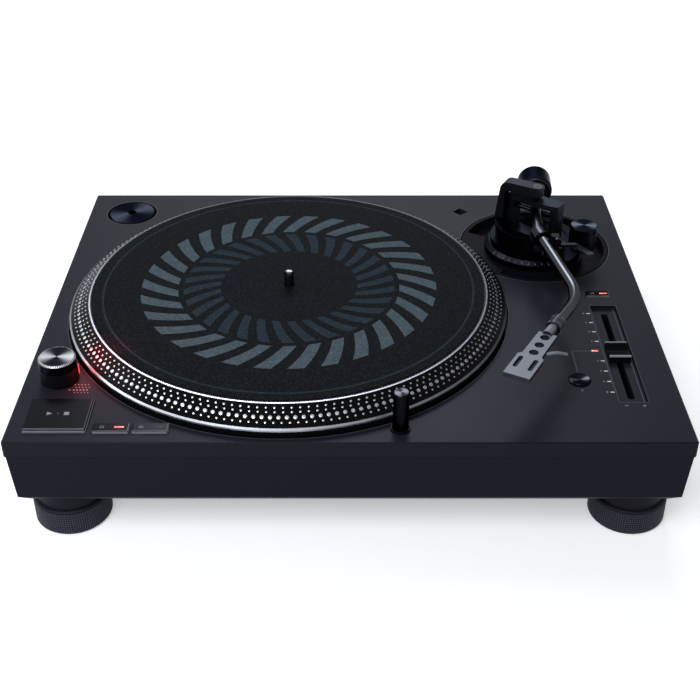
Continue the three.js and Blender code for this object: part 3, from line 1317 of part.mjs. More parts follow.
function hubGeometry() {
  const along = (geometry) => geometry.rotateX(Math.PI / 2);
  const barrel = along(cylinder(HUB_RADIUS, -HUB_REAR, HUB_FRONT));
  const knee = new THREE.SphereGeometry(HUB_RADIUS, SMALL, KNEE_BANDS).translate(0, -HUB_FRONT, 0);
  const cuff = along(cylinder(CUFF_RADIUS, 0, CUFF_LENGTH))
    .rotateZ(radians(CUFF_ANGLE)).translate(0, -HUB_FRONT, 0);
  const bore = along(cylinder(TUBE_RADIUS + SEAT, CUFF_LENGTH - CUFF_BORE_DEPTH, CUFF_LENGTH + OVERRUN))
    .rotateZ(radians(CUFF_ANGLE)).translate(0, -HUB_FRONT, 0);
  const half = GIMBAL_HALF_WIDTH;
  const axle = cylinder(LIFT_AXLE_RADIUS, -half, half).rotateY(Math.PI / 2)
    .rotateZ(radians(GIMBAL_ANGLE - ARM_ANGLE));
  return cut(join(barrel, knee, cuff, axle), bore);
}

// Headshell frame: +X to its right, -Y forward, from the place where its plate starts
function shellStation(arm) {
  const point = new THREE.Vector2(
    path.corner.x + SHELL_START * Math.sin(path.end), path.corner.y - SHELL_START * Math.cos(path.end));
  return station(point.x, point.y, SHELL_ANGLE, arm, 0);
}

function shellGeometry() {
  const top = SHELL_ABOVE_AXIS;
  const low = top - SHELL_THICKNESS;
  const neck = SHELL_LENGTH - SHELL_FRONT_LENGTH;
  const step = SHELL_FRONT_HALF_WIDTH - SHELL_NECK_HALF_WIDTH;
  const plan = outline([
    [-SHELL_REAR_HALF_WIDTH, 0],
    [-SHELL_NECK_HALF_WIDTH, -neck + step],
    [-SHELL_FRONT_HALF_WIDTH, -neck],
    [-SHELL_FRONT_HALF_WIDTH, -SHELL_LENGTH],
    [SHELL_FRONT_HALF_WIDTH, -SHELL_LENGTH],
    [SHELL_FRONT_HALF_WIDTH, -neck],
    [SHELL_NECK_HALF_WIDTH, -neck + step],
    [SHELL_REAR_HALF_WIDTH, 0],
  ]);
  const cutters = SHELL_HOLE_SHARES.map((share) =>
    cylinder(SHELL_HOLE_RADIUS, low - OVERRUN, top + OVERRUN).translate(0, -share * SHELL_LENGTH, 0));
  for (const side of [-1, 1]) {
    cutters.push(prism(
      roundedRectangle(SHELL_SLOT_WIDTH, SHELL_SLOT_LENGTH, SHELL_SLOT_WIDTH / 2 * SLOT_END_SHARE),
      low - OVERRUN, top + OVERRUN, SLOT_FACETS,
    ).translate(side * SHELL_SLOT_SPACING / 2, -SHELL_SLOT_PLACE_SHARE * SHELL_LENGTH, 0));
  }
  const plugLength = SHELL_START - TUBE_TAIL - SEAT;
  const lean = radians(TUBE_END_ANGLE - SHELL_ANGLE);
  const plug = cylinder(PLUG_RADIUS, -SHELL_REAR_HALF_WIDTH / 4, plugLength).rotateX(-Math.PI / 2)
    .rotateZ(lean);
  return join(cut(prism(plan, low, top), ...cutters), plug);
}

function tonearm() {
  const pivot = station(PIVOT_X, PIVOT_Y);
  const gimbal = station(0, 0, GIMBAL_ANGLE, pivot, 0);
  place(gimbal, 'gimbal_frame', gimbalGeometry(), blackPaint);

  const arm = station(0, 0, ARM_ANGLE, pivot, ARM_LEVEL);
  place(arm, 'arm_hub', hubGeometry(), steel);
  place(arm, 'arm_tube',
    sweep(new ArmCurve(), TUBE_RADIUS, TUBE_RADIUS - TUBE_WALL, TUBE_STEPS, TUBE_SIDES), steel);

  const nut = station(path.corner.x, path.corner.y, TUBE_END_ANGLE, arm, 0);
  const nutBore = TUBE_RADIUS + RUN;
  place(nut, 'headshell_nut', ring(nutBore, NUT_RADIUS, NUT_START, NUT_START + NUT_LENGTH, POST)
    .rotateX(Math.PI / 2), steel);

  const shell = shellStation(arm);
  place(shell, 'headshell', shellGeometry(), satin);
  const root = -(SHELL_LENGTH - SHELL_FRONT_LENGTH) + FINGER_SWEEP;
  const side = SHELL_NECK_HALF_WIDTH + 2 * SEAT;
  const middle = SHELL_ABOVE_AXIS - SHELL_THICKNESS / 2;
  const finger = new THREE.CatmullRomCurve3([
    new THREE.Vector3(side, root, middle),
    new THREE.Vector3(side + FINGER_REACH / 2, root + FINGER_SWEEP / 3, middle + FINGER_ARCH),
    new THREE.Vector3(side + FINGER_REACH, root + FINGER_SWEEP, middle - FINGER_DROP),
  ]);
  place(shell, 'finger_lift', sweep(finger, FINGER_RADIUS, 0, FINGER_STEPS, FINGER_SIDES), steel);

  const rear = (geometry) => geometry.rotateX(-Math.PI / 2).translate(REAR_SHAFT_OFFSET, 0, 0);
  const shaftStart = HUB_REAR + SEAT;
  const shaftEnd = shaftStart + REAR_SHAFT_LENGTH;
  place(arm, 'rear_shaft', rear(cylinder(REAR_SHAFT_RADIUS, shaftStart, shaftEnd)), satin);
  const weightStart = DIAL_START + DIAL_LENGTH + SEAT;
  const weightEnd = weightStart + WEIGHT_LENGTH;
  const sleeveBore = REAR_SHAFT_RADIUS + SEAT;
  place(arm, 'counterweight_sleeve', rear(ring(sleeveBore, SLEEVE_RADIUS, DIAL_START, weightEnd, POST)),
    blackPlastic);
  const weightBore = SLEEVE_RADIUS + RUN;
  const edge = WEIGHT_EDGE;
  place(arm, 'counterweight', rear(turned([
    [weightBore, weightStart],
    [WEIGHT_RADIUS - edge, weightStart],
    [WEIGHT_RADIUS, weightStart + edge],
    [WEIGHT_RADIUS, weightEnd - edge],
    [WEIGHT_RADIUS - edge, weightEnd],
    [weightBore, weightEnd],
    [weightBore, weightStart],
  ], KNOB)), blackPaint);
  place(arm, 'force_dial',
    rear(ring(weightBore, DIAL_RADIUS, DIAL_START, DIAL_START + DIAL_LENGTH, KNOB)), blackPlastic);
}

place(station(0, 0), 'deck', deck(), deckPaint);
place(turntable, 'base_shell', baseShell(), basePaint);
feet();
platterGroup();
motor();
electrics();
buttons();
fader();
strobe();
stylusLight();
adapterAndSocket();
armWell();
armBase();
tonearm();

export default turntable;
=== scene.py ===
# Direct drive turntable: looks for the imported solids, in metres, +Z up.
# Places are given in millimetres and turned into metres where a mesh is made.

import math

import bmesh
import bpy
from mathutils import Matrix, Vector


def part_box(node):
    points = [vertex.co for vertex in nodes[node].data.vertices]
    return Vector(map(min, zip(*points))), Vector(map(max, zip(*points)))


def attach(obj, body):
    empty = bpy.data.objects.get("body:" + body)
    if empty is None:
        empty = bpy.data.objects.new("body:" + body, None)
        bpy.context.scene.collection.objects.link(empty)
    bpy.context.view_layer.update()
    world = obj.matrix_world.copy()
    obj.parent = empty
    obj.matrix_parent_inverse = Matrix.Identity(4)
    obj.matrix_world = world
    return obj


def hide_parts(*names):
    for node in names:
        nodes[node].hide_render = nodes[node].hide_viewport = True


MM = 0.001
TAU = 2 * math.pi

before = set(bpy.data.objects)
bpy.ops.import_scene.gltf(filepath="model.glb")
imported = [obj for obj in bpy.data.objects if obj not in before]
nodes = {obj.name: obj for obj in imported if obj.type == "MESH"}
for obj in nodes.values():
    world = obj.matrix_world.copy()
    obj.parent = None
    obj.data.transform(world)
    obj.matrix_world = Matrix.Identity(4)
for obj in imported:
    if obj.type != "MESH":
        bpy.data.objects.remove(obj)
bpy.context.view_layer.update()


# Places read from the solids

def corners(node):
    low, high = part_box(node)
    return low / MM, high / MM


def middle(node):
    low, high = corners(node)
    return (low + high) / 2


PLATTER = middle("platter")
PIVOT = middle("height_ring")
FADER = middle("fader_panel")
DECK_TOP = corners("deck")[1].z


# Shader maths

class Link:
    """An output socket. Python's operators on it add Math nodes."""

    def __init__(self, owner, socket):
        self.owner = owner
        self.socket = socket

    def math(self, operation, *values):
        return self.owner.node("ShaderNodeMath", {"operation": operation}, dict(enumerate(values)))

    def __add__(self, other):
        return self.math("ADD", self, other)

    def __radd__(self, other):
        return self.math("ADD", other, self)

    def __sub__(self, other):
        return self.math("SUBTRACT", self, other)

    def __rsub__(self, other):
        return self.math("SUBTRACT", other, self)

    def __mul__(self, other):
        return self.math("MULTIPLY", self, other)

    def __rmul__(self, other):
        return self.math("MULTIPLY", other, self)

    def __truediv__(self, other):
        return self.math("DIVIDE", self, other)

    def __mod__(self, other):
        return self.math("FLOORED_MODULO", self, other)

    def __pow__(self, other):
        return self.math("POWER", self, other)

    def __lt__(self, other):
        return self.math("LESS_THAN", self, other)

    def __gt__(self, other):
        return self.math("GREATER_THAN", self, other)

    def __abs__(self):
        return self.math("ABSOLUTE", self)

    def sine(self):
        return self.math("SINE", self)

    def larger(self, other):
        return self.math("MAXIMUM", self, other)

    def smaller(self, other):
        return self.math("MINIMUM", self, other)


class Nodes:
    """A node tree, and the one method that adds a node to it."""

    def __init__(self, tree):
        self.tree = tree

    def feed(self, socket, value):
        if isinstance(value, Link):
            self.tree.links.new(value.socket, socket)
        elif socket.type == "RGBA":
            socket.default_value = (*value, 1)
        else:
            socket.default_value = value

    def node(self, kind, settings=None, inputs=None, output=0):
        made = self.tree.nodes.new(kind)
        for key, value in (settings or {}).items():
            if key == "stops":
                ramp = made.color_ramp.elements
                for stop, (place, shade) in zip(ramp, value):
                    stop.position = place
                    stop.color = (*shade, 1)
            else:
                setattr(made, key, value)
        for key, value in (inputs or {}).items():
            self.feed(made.inputs[key], value)
        return Link(self, made.outputs[output])

    def seen(self):
        """One for a ray that the camera sees straight, in a mirror or through glass, else zero."""
        camera, glossy, through = [
            self.node("ShaderNodeLightPath", output=name)
            for name in ("Is Camera Ray", "Is Glossy Ray", "Is Transmission Ray")
        ]
        return camera.larger(glossy).larger(through)


class Finish(Nodes):
    """A node material: one Principled shader and the patterns that feed it."""

    def __init__(self, name, **constants):
        self.material = bpy.data.materials.new(name)
        self.material.use_nodes = True
        super().__init__(self.material.node_tree)
        self.shader = self.tree.nodes["Principled BSDF"]
        self.set(**constants)

    def set(self, **values):
        for key, value in values.items():
            self.feed(self.shader.inputs[key.replace("_", " ").title().replace("Ior", "IOR")], value)
        return self

    def place(self):
        return self.node("ShaderNodeTexCoord", output="Object")

    def axes(self):
        """X, Y and Z in millimetres."""
        place = {"Vector": self.place()}
        return [self.node("ShaderNodeSeparateXYZ", inputs=place, output=axis) / MM for axis in "XYZ"]

    def polar(self, centre):
        """Distance in millimetres and angle in radians round an upright axis."""
        x, y, z = self.axes()
        dx = x - centre.x
        dy = y - centre.y
        radius = (dx * dx + dy * dy) ** 0.5
        return radius, dy.math("ARCTAN2", dy, dx), z

    def border(self, node, inset, width):
        """One along a line inside the front and right edges of a node's box, else zero."""
        low, high = corners(node)
        x, y, _ = self.axes()
        return abs((x - high.x).larger(low.y - y) + inset) < width / 2

    def noise(self, scale, detail=2.0, vector=None, roughness=0.5):
        inputs = {
            "Vector": vector or self.place(),
            "Scale": scale,
            "Detail": detail,
            "Roughness": roughness,
        }
        return self.node("ShaderNodeTexNoise", inputs=inputs)

    def joined(self, x, y, z):
        return self.node("ShaderNodeCombineXYZ", inputs={"X": x, "Y": y, "Z": z})

    def mix(self, mask, first, second):
        inputs = {"Factor": mask, 6: first, 7: second}
        return self.node("ShaderNodeMix", {"data_type": "RGBA"}, inputs, output=2)

    def grained(self, colour, scale):
        """A colour with a fine grain in it, and the grain."""
        fine = self.noise(scale, 3.0)
        lighter = tuple(min(1.0, c * 1.2) for c in colour)
        darker = tuple(c * 0.8 for c in colour)
        return self.mix(fine, darker, lighter), fine

    def ramp(self, value, stops):
        return self.node("ShaderNodeValToRGB", {"stops": stops}, {"Fac": value})

    def bump(self, height, depth, strength=1.0):
        inputs = {"Height": height, "Distance": depth * MM, "Strength": strength}
        return self.set(normal=self.node("ShaderNodeBump", inputs=inputs))


def grey(value):
    return (value, value, value)


COOL = (0.75, 0.82, 1.0)
DULL_EDGE = grey(0.45)


def painted(name, colour, roughness, specular, grain=0.02, scale=1200.0):
    """Paint or moulded plastic with a fine grain."""
    spread = 0.06
    finish = Finish(name, specular_ior_level=specular, specular_tint=COOL)
    shade, fine = finish.grained(colour, scale)
    broad = finish.noise(14.0, 2.0)
    finish.set(base_color=shade, roughness=roughness - spread / 2 + broad * spread)
    return finish.bump(fine, grain, 0.4)


def metal(name, colour, roughness, grain=0.01, scale=600.0, spread=0.08):
    """Plain machined metal, kept dark at a flat angle."""
    finish = Finish(name, metallic=1.0, specular_tint=DULL_EDGE)
    shade, fine = finish.grained(colour, scale)
    broad = finish.noise(20.0, 2.0)
    finish.set(base_color=shade, roughness=roughness - spread / 2 + broad * spread)
    return finish.bump(fine, grain, 0.3)


def turned_metal(name, node, dark, bright, roughness, start, sharpness, depth=0.3):
    """The top of a node, turned on a lathe: fine rings, and painted highlights in fans that spread out from
    its middle.
    """
    fans = 2
    finish = Finish(name, metallic=1.0, specular_tint=DULL_EDGE)
    radius, angle, height = finish.polar(middle(node))
    lines = finish.noise(2.2, 3.0, finish.joined(radius, height, 0.0))
    # Painted highlight: bright fans on the top only.
    painted_fan_highlight = ((angle * fans + start * TAU).sine() * 0.5 + 0.5) ** sharpness
    soft = finish.noise(2.3, 3.0, finish.joined(angle * 3.0, 0.0, 0.0))
    top = height > corners(node)[1].z - depth
    finish.set(base_color=finish.mix(painted_fan_highlight * (0.55 + soft * 0.7) * top, dark, bright))
    finish.set(roughness=roughness + lines * 0.12)
    return finish.bump(lines, 0.01, 0.5)


# Finishes by the material slots in model.glb

FINISHES = {
    "base_paint": painted("base_paint", (0.0115, 0.0110, 0.0175), 0.5, 0.03),
    "black_paint": metal("black_paint", (0.0115, 0.0125, 0.0160), 0.28, 0.006, 900.0, 0.06),
    "black_plastic": painted("black_plastic", (0.0045, 0.0045, 0.0060), 0.42, 0.04),
    "gloss_plastic": painted("gloss_plastic", (0.0040, 0.0041, 0.0055), 0.2, 0.06, 0.004),
    "foot_rubber": painted("foot_rubber", (0.0150, 0.0148, 0.0200), 0.45, 0.06, 0.03),
    "steel": metal("steel", (0.46, 0.46, 0.48), 0.24),
    "tube_chrome": metal("tube_chrome", (0.050, 0.053, 0.060), 0.16, 0.003, 500.0, 0.03),
    "satin_metal": metal("satin_metal", (0.30, 0.31, 0.33), 0.36),
    "brass": metal("brass", (0.70, 0.52, 0.22), 0.28),
    "grey_plate": painted("grey_plate", (0.020, 0.021, 0.026), 0.36, 0.10, 0.012),
    "magnet": painted("magnet", (0.020, 0.020, 0.022), 0.65, 0.3, 0.04, 700.0),
    "board": painted("board", (0.010, 0.075, 0.035), 0.40, 0.5, 0.01, 900.0),
    "weight_metal": metal("weight_metal", (0.0085, 0.0100, 0.0140), 0.22, 0.004, 500.0, 0.04),
}


def deck_finish():
    """Dark satin paint, with painted shade on the chamfer along its upper edge."""
    finish = Finish("deck_paint", specular_ior_level=0.034, specular_tint=COOL)
    shade, fine = finish.grained((0.0125, 0.0130, 0.0185), 1400.0)
    broad = finish.noise(14.0, 2.0)
    _, _, z = finish.axes()
    # Painted shade: the chamfer along the upper edge is darker than the top.
    edge = (z > DECK_TOP - 0.85) * (z < DECK_TOP - 0.05)
    finish.set(base_color=finish.mix(edge, shade, (0.0085, 0.0085, 0.0125)), roughness=0.36 + broad * 0.06)
    return finish.bump(fine, 0.012, 0.4)


def coil_finish():
    """Copper wire, wound in level turns."""
    finish = Finish("coils", metallic=0.7, roughness=0.35)
    _, _, height = finish.polar(PLATTER)
    strands = (height * 12.0).sine() * 0.5 + 0.5
    finish.set(base_color=finish.mix(strands, (0.26, 0.09, 0.03), (0.62, 0.27, 0.10)))
    return finish.bump(strands, 0.2)


def front_left_highlight(angle):
    """Painted highlight: one at the platter's front left, falling to zero at its rear right."""
    return ((angle + math.radians(35)).sine() * -0.5 + 0.5) ** 4.0


def platter_finish():
    """Silver top lip and outer ring, gloss black band between them, dark side. The silver is painted
    brighter at the front left and darker at the rear right as a painted highlight, and the side and the
    lip's inner edge are painted dark as shade.
    """
    # Painted shade: the lip's silver starts past its inner edge, which is left dark.
    lip = (149.5, 150.75)
    ring = (164.6, 166.2)
    side_height = 4.3
    finish = Finish("platter_metal", specular_ior_level=0.04, specular_tint=DULL_EDGE)
    radius, angle, height = finish.polar(PLATTER)
    # Painted shade: the side below this height stays dark instead of silver.
    above = height > DECK_TOP + side_height
    inner = (radius > lip[0]) * (radius < lip[1])
    outer = (radius > ring[0]) * (radius < ring[1])
    silver = inner.larger(outer) * above
    lines = finish.noise(3.0, 3.0, finish.joined(radius, 0.0, 0.0))
    # Painted highlight: the silver is bright at the front left and dark at the rear right.
    highlit_silver = finish.mix(front_left_highlight(angle), (0.055, 0.058, 0.066), (0.46, 0.48, 0.52))
    finish.set(base_color=finish.mix(silver, (0.0030, 0.0031, 0.0038), highlit_silver))
    finish.set(metallic=silver * 0.8, roughness=0.3 + lines * 0.10)
    return finish.bump(lines, 0.006, 0.4)


def dot_finish():
    """Silver with worn roughness, and a painted highlight that is brightest at the platter's front left."""
    finish = Finish("dot_metal", metallic=0.75, specular_tint=DULL_EDGE, specular_ior_level=0.1)
    _, angle, _ = finish.polar(PLATTER)
    worn = finish.noise(900.0, 2.0)
    # Painted highlight: the dots' silver is bright at the front left and dark at the rear right.
    finish.set(base_color=finish.mix(front_left_highlight(angle), (0.13, 0.135, 0.15), (0.60, 0.61, 0.63)))
    return finish.set(roughness=0.28 + worn * 0.08)


def lens_finish(name, colour, strength):
    """A lit lens with fine cells in it."""
    finish = Finish(name, roughness=0.25, emission_strength=strength)
    cells = finish.noise(500.0, 1.0)
    finish.set(base_color=finish.mix(cells, tuple(c * 0.5 for c in colour), colour))
    return finish.set(emission_color=finish.mix(cells, tuple(c * 0.8 for c in colour), colour))


def felt_finish():
    """Dark felt with pale fibres, two rings of slanted bars and a thin line near the edge."""
    bars = 30
    slant = 0.03
    bar_share = 0.52
    outer_ring = (84.0, 112.0)
    inner_ring = (52.0, 80.0)
    thin_line = (139.2, 140.9)
    finish = Finish("felt", roughness=0.85, specular_ior_level=0.05)
    radius, angle, _ = finish.polar(PLATTER)

    def between(band):
        return (radius > band[0]) * (radius < band[1])

    fibres = finish.noise(620.0, 4.0, roughness=0.75)
    specks = finish.ramp(fibres, [(0.47, grey(0.0)), (0.70, grey(1.0))])
    blotch = finish.noise(90.0, 3.0)
    turns = angle * (bars / TAU)
    outer = (((turns + radius * slant) % 1.0) < bar_share) * between(outer_ring)
    inner = (((turns - radius * slant) % 1.0) < bar_share) * between(inner_ring)
    line = between(thin_line)
    ground = finish.mix(specks, (0.0012, 0.0018, 0.0026), (0.0125, 0.0155, 0.0190))
    pale = finish.mix(specks, (0.050, 0.068, 0.080), (0.105, 0.138, 0.158))
    dim = finish.mix(specks, (0.012, 0.019, 0.026), (0.030, 0.042, 0.052))
    colour = finish.mix(inner, ground, dim)
    colour = finish.mix(line * 0.85, colour, dim)
    colour = finish.mix(outer * (0.75 + blotch * 0.3), colour, pale)
    finish.set(base_color=colour)
    return finish.bump(fibres, 0.25, 0.5)


FINISHES["deck_paint"] = deck_finish()
FINISHES["coils"] = coil_finish()
FINISHES["platter_metal"] = platter_finish()
FINISHES["red_lens"] = lens_finish("red_lens", (1.0, 0.10, 0.09), 1.1)
FINISHES["felt"] = felt_finish()


GLOSS_BLACK = (0.0036, 0.0037, 0.0048)
EDGE_HIGHLIGHT = (0.17, 0.175, 0.19)
EDGE_HIGHLIGHT_WIDTH = 0.34


def edged(node, *insets, colour=GLOSS_BLACK, line=EDGE_HIGHLIGHT, roughness=0.18, specular=0.03):
    """Gloss black with painted highlights: fine bright lines along the front and right edges of its top."""
    finish = Finish(f"{node}_gloss", specular_ior_level=specular, specular_tint=COOL)
    shade, fine = finish.grained(colour, 1200.0)
    # Painted highlights: lighter lines along the front and right edges.
    for inset in insets:
        shade = finish.mix(finish.border(node, inset, EDGE_HIGHLIGHT_WIDTH), shade, line)
    finish.set(base_color=shade, roughness=roughness + fine * 0.06)
    return finish.bump(fine, 0.004, 0.4)


def slider_finish():
    """Gloss black with painted highlights on the tops of its two ridges."""
    ridge_width = 2.6
    ridge_depth = 1.0
    low, high = corners("pitch_slider")
    finish = Finish("slider_gloss", specular_ior_level=0.015, specular_tint=COOL)
    shade, fine = finish.grained((0.0026, 0.0027, 0.0035), 1200.0)
    _, y, z = finish.axes()
    ridge = abs(y - (low.y + high.y) / 2) > (high.y - low.y) / 2 - ridge_width
    # Painted highlight: the tops of the ridges are lighter than the rest.
    finish.set(base_color=finish.mix(ridge * (z > high.z - ridge_depth), shade, (0.24, 0.25, 0.29)))
    finish.set(roughness=0.22 + fine * 0.1)
    return finish.bump(fine, 0.004, 0.4)


def shell_finish():
    """Satin silver on top, with painted shade down the sides and in the holes."""
    finish = Finish("shell_silver", specular_ior_level=0.12, specular_tint=COOL)
    shade, fine = finish.grained((0.140, 0.151, 0.172), 900.0)
    normal = finish.node("ShaderNodeTexCoord", output="Normal")
    up = finish.node("ShaderNodeSeparateXYZ", inputs={"Vector": normal}, output="Z")
    # Painted shade: faces that don't point up get a dark colour instead of the silver.
    level = up > 0.6
    finish.set(base_color=finish.mix(level, (0.020, 0.021, 0.026), shade), roughness=0.32 + fine * 0.06)
    return finish.bump(fine, 0.01, 0.4)


DARK_CHROME = metal("dark_chrome", (0.032, 0.034, 0.040), 0.2, 0.004, 500.0, 0.04)
DARK_PLATE = metal("dark_plate", (0.0075, 0.0084, 0.0115), 0.3, 0.006, 900.0, 0.06)
BRACKET_PAINT = metal("bracket_paint", (0.0260, 0.0285, 0.0370), 0.38, 0.006, 900.0, 0.06)

NODE_FINISHES = {
    "power_knob": turned_metal(
        "power_knob_top", "power_knob", (0.0085, 0.0092, 0.0130), (0.36, 0.36, 0.38), 0.24,
        start=0.25, sharpness=3.0),
    "antiskate_knob": turned_metal(
        "skate_knob_top", "antiskate_knob", (0.006, 0.008, 0.011), (0.10, 0.125, 0.15), 0.22,
        start=0.3, sharpness=4.0),
    "reset_button": turned_metal(
        "reset_top", "reset_button", (0.005, 0.005, 0.007), (0.060, 0.060, 0.070), 0.26,
        start=0.2, sharpness=9.0, depth=1.3),
    "target_light": turned_metal(
        "light_top", "target_light", (0.004, 0.004, 0.006), (0.045, 0.046, 0.052), 0.22,
        start=0.1, sharpness=1.0),
    "adapter_45": turned_metal(
        "adapter_top", "adapter_45", (0.004, 0.0045, 0.007), (0.034, 0.038, 0.052), 0.28,
        start=0.05, sharpness=2.5),
    "start_stop_button": edged("start_stop_button", 0.15, 1.25, specular=0.045),
    "speed_33_button": edged("speed_33_button", 0.15, 0.8),
    "speed_45_button": edged("speed_45_button", 0.15, 0.8),
    "pitch_range_button": edged("pitch_range_button", 0.15, 0.8, specular=0.008),
    # The fader panel's lighter inset line along its front and right edges is a painted highlight.
    "fader_panel": edged(
        "fader_panel", 1.6, colour=(0.0135, 0.014, 0.018), line=(0.14, 0.145, 0.17), roughness=0.3),
    "pitch_slider": slider_finish(),
    "spindle": metal("spindle_steel", (0.10, 0.10, 0.11), 0.18),
    "headshell": shell_finish(),
    "finger_lift": painted("finger_silver", (0.17, 0.18, 0.20), 0.3, 0.12),
    "headshell_nut": metal("nut_metal", (0.040, 0.042, 0.048), 0.3, 0.01, 500.0, 0.04),
    "arm_hub": DARK_CHROME,
    "rear_shaft": DARK_CHROME,
    "rest_clip": DARK_CHROME,
    "arm_side_plate": DARK_PLATE,
    "gimbal_bracket": BRACKET_PAINT,
    "gimbal_frame": BRACKET_PAINT,
    "arm_well_pan": painted("well_paint", (0.0050, 0.0050, 0.0070), 0.45, 0.012),
    "ground_screw": metal("screw_steel", (0.15, 0.15, 0.16), 0.3),
    "top_pivot_screw": metal("pivot_screw", (0.10, 0.10, 0.10), 0.2),
}


def smoothing():
    """Welds a solid's facets and smooths across edges that turn by less than thirty degrees."""
    group = bpy.data.node_groups.new("smooth_facets", "GeometryNodeTree")
    group.interface.new_socket("Geometry", in_out="INPUT", socket_type="NodeSocketGeometry")
    group.interface.new_socket("Geometry", in_out="OUTPUT", socket_type="NodeSocketGeometry")
    start = group.nodes.new("NodeGroupInput")
    end = group.nodes.new("NodeGroupOutput")
    forget = group.nodes.new("GeometryNodeRemoveAttribute")
    forget.inputs["Name"].default_value = "custom_normal"
    merge = group.nodes.new("GeometryNodeMergeByDistance")
    merge.inputs["Distance"].default_value = 0.002 * MM
    angle = group.nodes.new("GeometryNodeInputMeshEdgeAngle")
    below = group.nodes.new("FunctionNodeCompare")
    below.operation = "LESS_THAN"
    below.inputs["B"].default_value = math.radians(30)
    faces = group.nodes.new("GeometryNodeSetShadeSmooth")
    faces.domain = "FACE"
    edges = group.nodes.new("GeometryNodeSetShadeSmooth")
    edges.domain = "EDGE"
    links = group.links
    links.new(start.outputs[0], forget.inputs["Geometry"])
    links.new(forget.outputs["Geometry"], merge.inputs["Geometry"])
    links.new(merge.outputs["Geometry"], faces.inputs["Geometry"])
    links.new(faces.outputs["Geometry"], edges.inputs["Geometry"])
    links.new(angle.outputs["Unsigned Angle"], below.inputs["A"])
    links.new(below.outputs["Result"], edges.inputs["Shade Smooth"])
    links.new(edges.outputs["Geometry"], end.inputs[0])
    return group


SMOOTHING = smoothing()


def smooth(obj):
    modifier = obj.modifiers.new("smooth_facets", "NODES")
    modifier.node_group = SMOOTHING


for name, node in nodes.items():
    slot = node.data.materials[0].name.split(".")[0]
    made = NODE_FINISHES.get(name) or FINISHES[slot]
    node.data.materials[0] = made.material
    smooth(node)


# Pieces made here

def piece(name, mesh, finish, body, slot, *replaced):
    """Turns a bmesh in millimetres into a piece that rides on a body."""
    data = bpy.data.meshes.new(name)
    bmesh.ops.recalc_face_normals(mesh, faces=mesh.faces)
    mesh.to_mesh(data)
    mesh.free()
    data.transform(Matrix.Scale(MM, 4))
    data.materials.append(finish.material)
    obj = bpy.data.objects.new(name, data)
    bpy.context.scene.collection.objects.link(obj)
    smooth(obj)
    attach(obj, body)
    if replaced:
        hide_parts(*replaced)
    return obj


def add_block(mesh, centre, size, turn=0.0, bevel=0.0, tilt=0.0):
    """A box, turned about Z and tilted about its own Y by angles in degrees, with bevelled edges."""
    matrix = Matrix.Translation(centre) @ Matrix.Rotation(math.radians(turn), 4, "Z")
    matrix = matrix @ Matrix.Rotation(math.radians(tilt), 4, "Y") @ Matrix.Diagonal((*size, 1))
    made = bmesh.ops.create_cube(mesh, size=1, matrix=matrix)
    if bevel:
        edges = {e for v in made["verts"] for e in v.link_edges}
        bmesh.ops.bevel(mesh, geom=list(edges), offset=bevel, segments=2, affect="EDGES", profile=0.5)


def add_plate(mesh, points, low, high):
    """An upright prism over an outline of (x, y) points."""
    rings = [[mesh.verts.new((x, y, z)) for x, y in points] for z in (low, high)]
    mesh.faces.new(rings[0][::-1])
    mesh.faces.new(rings[1])
    for i in range(len(points)):
        j = (i + 1) % len(points)
        mesh.faces.new((rings[0][i], rings[0][j], rings[1][j], rings[1][i]))


def add_lathe(mesh, profile, centre, segments=96):
    """A closed profile of (radius, height) points, turned round an upright axis."""
    columns = []
    for i in range(segments):
        angle = TAU * i / segments
        along = Vector((math.cos(angle), math.sin(angle), 0))
        columns.append([
            mesh.verts.new(Vector((centre[0], centre[1], 0)) + along * radius + Vector((0, 0, height)))
            for radius, height in profile
        ])
    for i in range(segments):
        here, there = columns[i], columns[(i + 1) % segments]
        for j in range(len(profile)):
            k = (j + 1) % len(profile)
            mesh.faces.new((here[j], there[j], there[k], here[k]))


def add_text(mesh, words, place, height, thickness=0.03):
    """Flat figures, cut from Blender's own typeface, lying face up."""
    curve = bpy.data.curves.new("figures", "FONT")
    curve.body = words
    curve.size = height * 1.4
    curve.align_x = "CENTER"
    curve.align_y = "CENTER"
    curve.extrude = thickness / 2
    curve.resolution_u = 3
    holder = bpy.data.objects.new("figures", curve)
    bpy.context.scene.collection.objects.link(holder)
    bpy.context.view_layer.update()
    graph = bpy.context.evaluated_depsgraph_get()
    shape = bpy.data.meshes.new_from_object(holder.evaluated_get(graph))
    shape.transform(Matrix.Translation(place))
    mesh.from_mesh(shape)
    bpy.data.objects.remove(holder)
    bpy.data.curves.remove(curve)
    bpy.data.meshes.remove(shape)


# The felt mat

def felt_mat():
    low, high = corners("slipmat")
    radius = high.x - PLATTER.x
    hole = 4.0
    edge = 0.35
    steps = 30
    mesh = bmesh.new()
    profile = [(hole, low.z), (radius, low.z), (radius, high.z - edge), (radius - edge, high.z)]
    profile += [(radius - edge + (hole - radius + edge) * i / steps, high.z) for i in range(1, steps + 1)]
    add_lathe(mesh, profile, PLATTER, 240)
    mat = piece("felt_mat", mesh, FINISHES["felt"], "mat", "felt", "slipmat")


felt_mat()


# Strobe dots on the platter's band: at 33 1/3 rpm the large row stands still under a 100 Hz flash

# Each row's radius, number of dots, radius of a dot, and angle of its first dot from the front
DOT_ROWS = [
    (153.1, 170, 0.80, 0.0171),
    (155.6, 174, 0.80, 0.0183),
    (158.5, 180, 1.45, -0.0016),
    (161.5, 186, 0.80, -0.0217),
]
# Radius and height above the deck of the band's two edges
BAND_INNER = (150.7, 16.4)
BAND_OUTER = (166.0, 5.5)


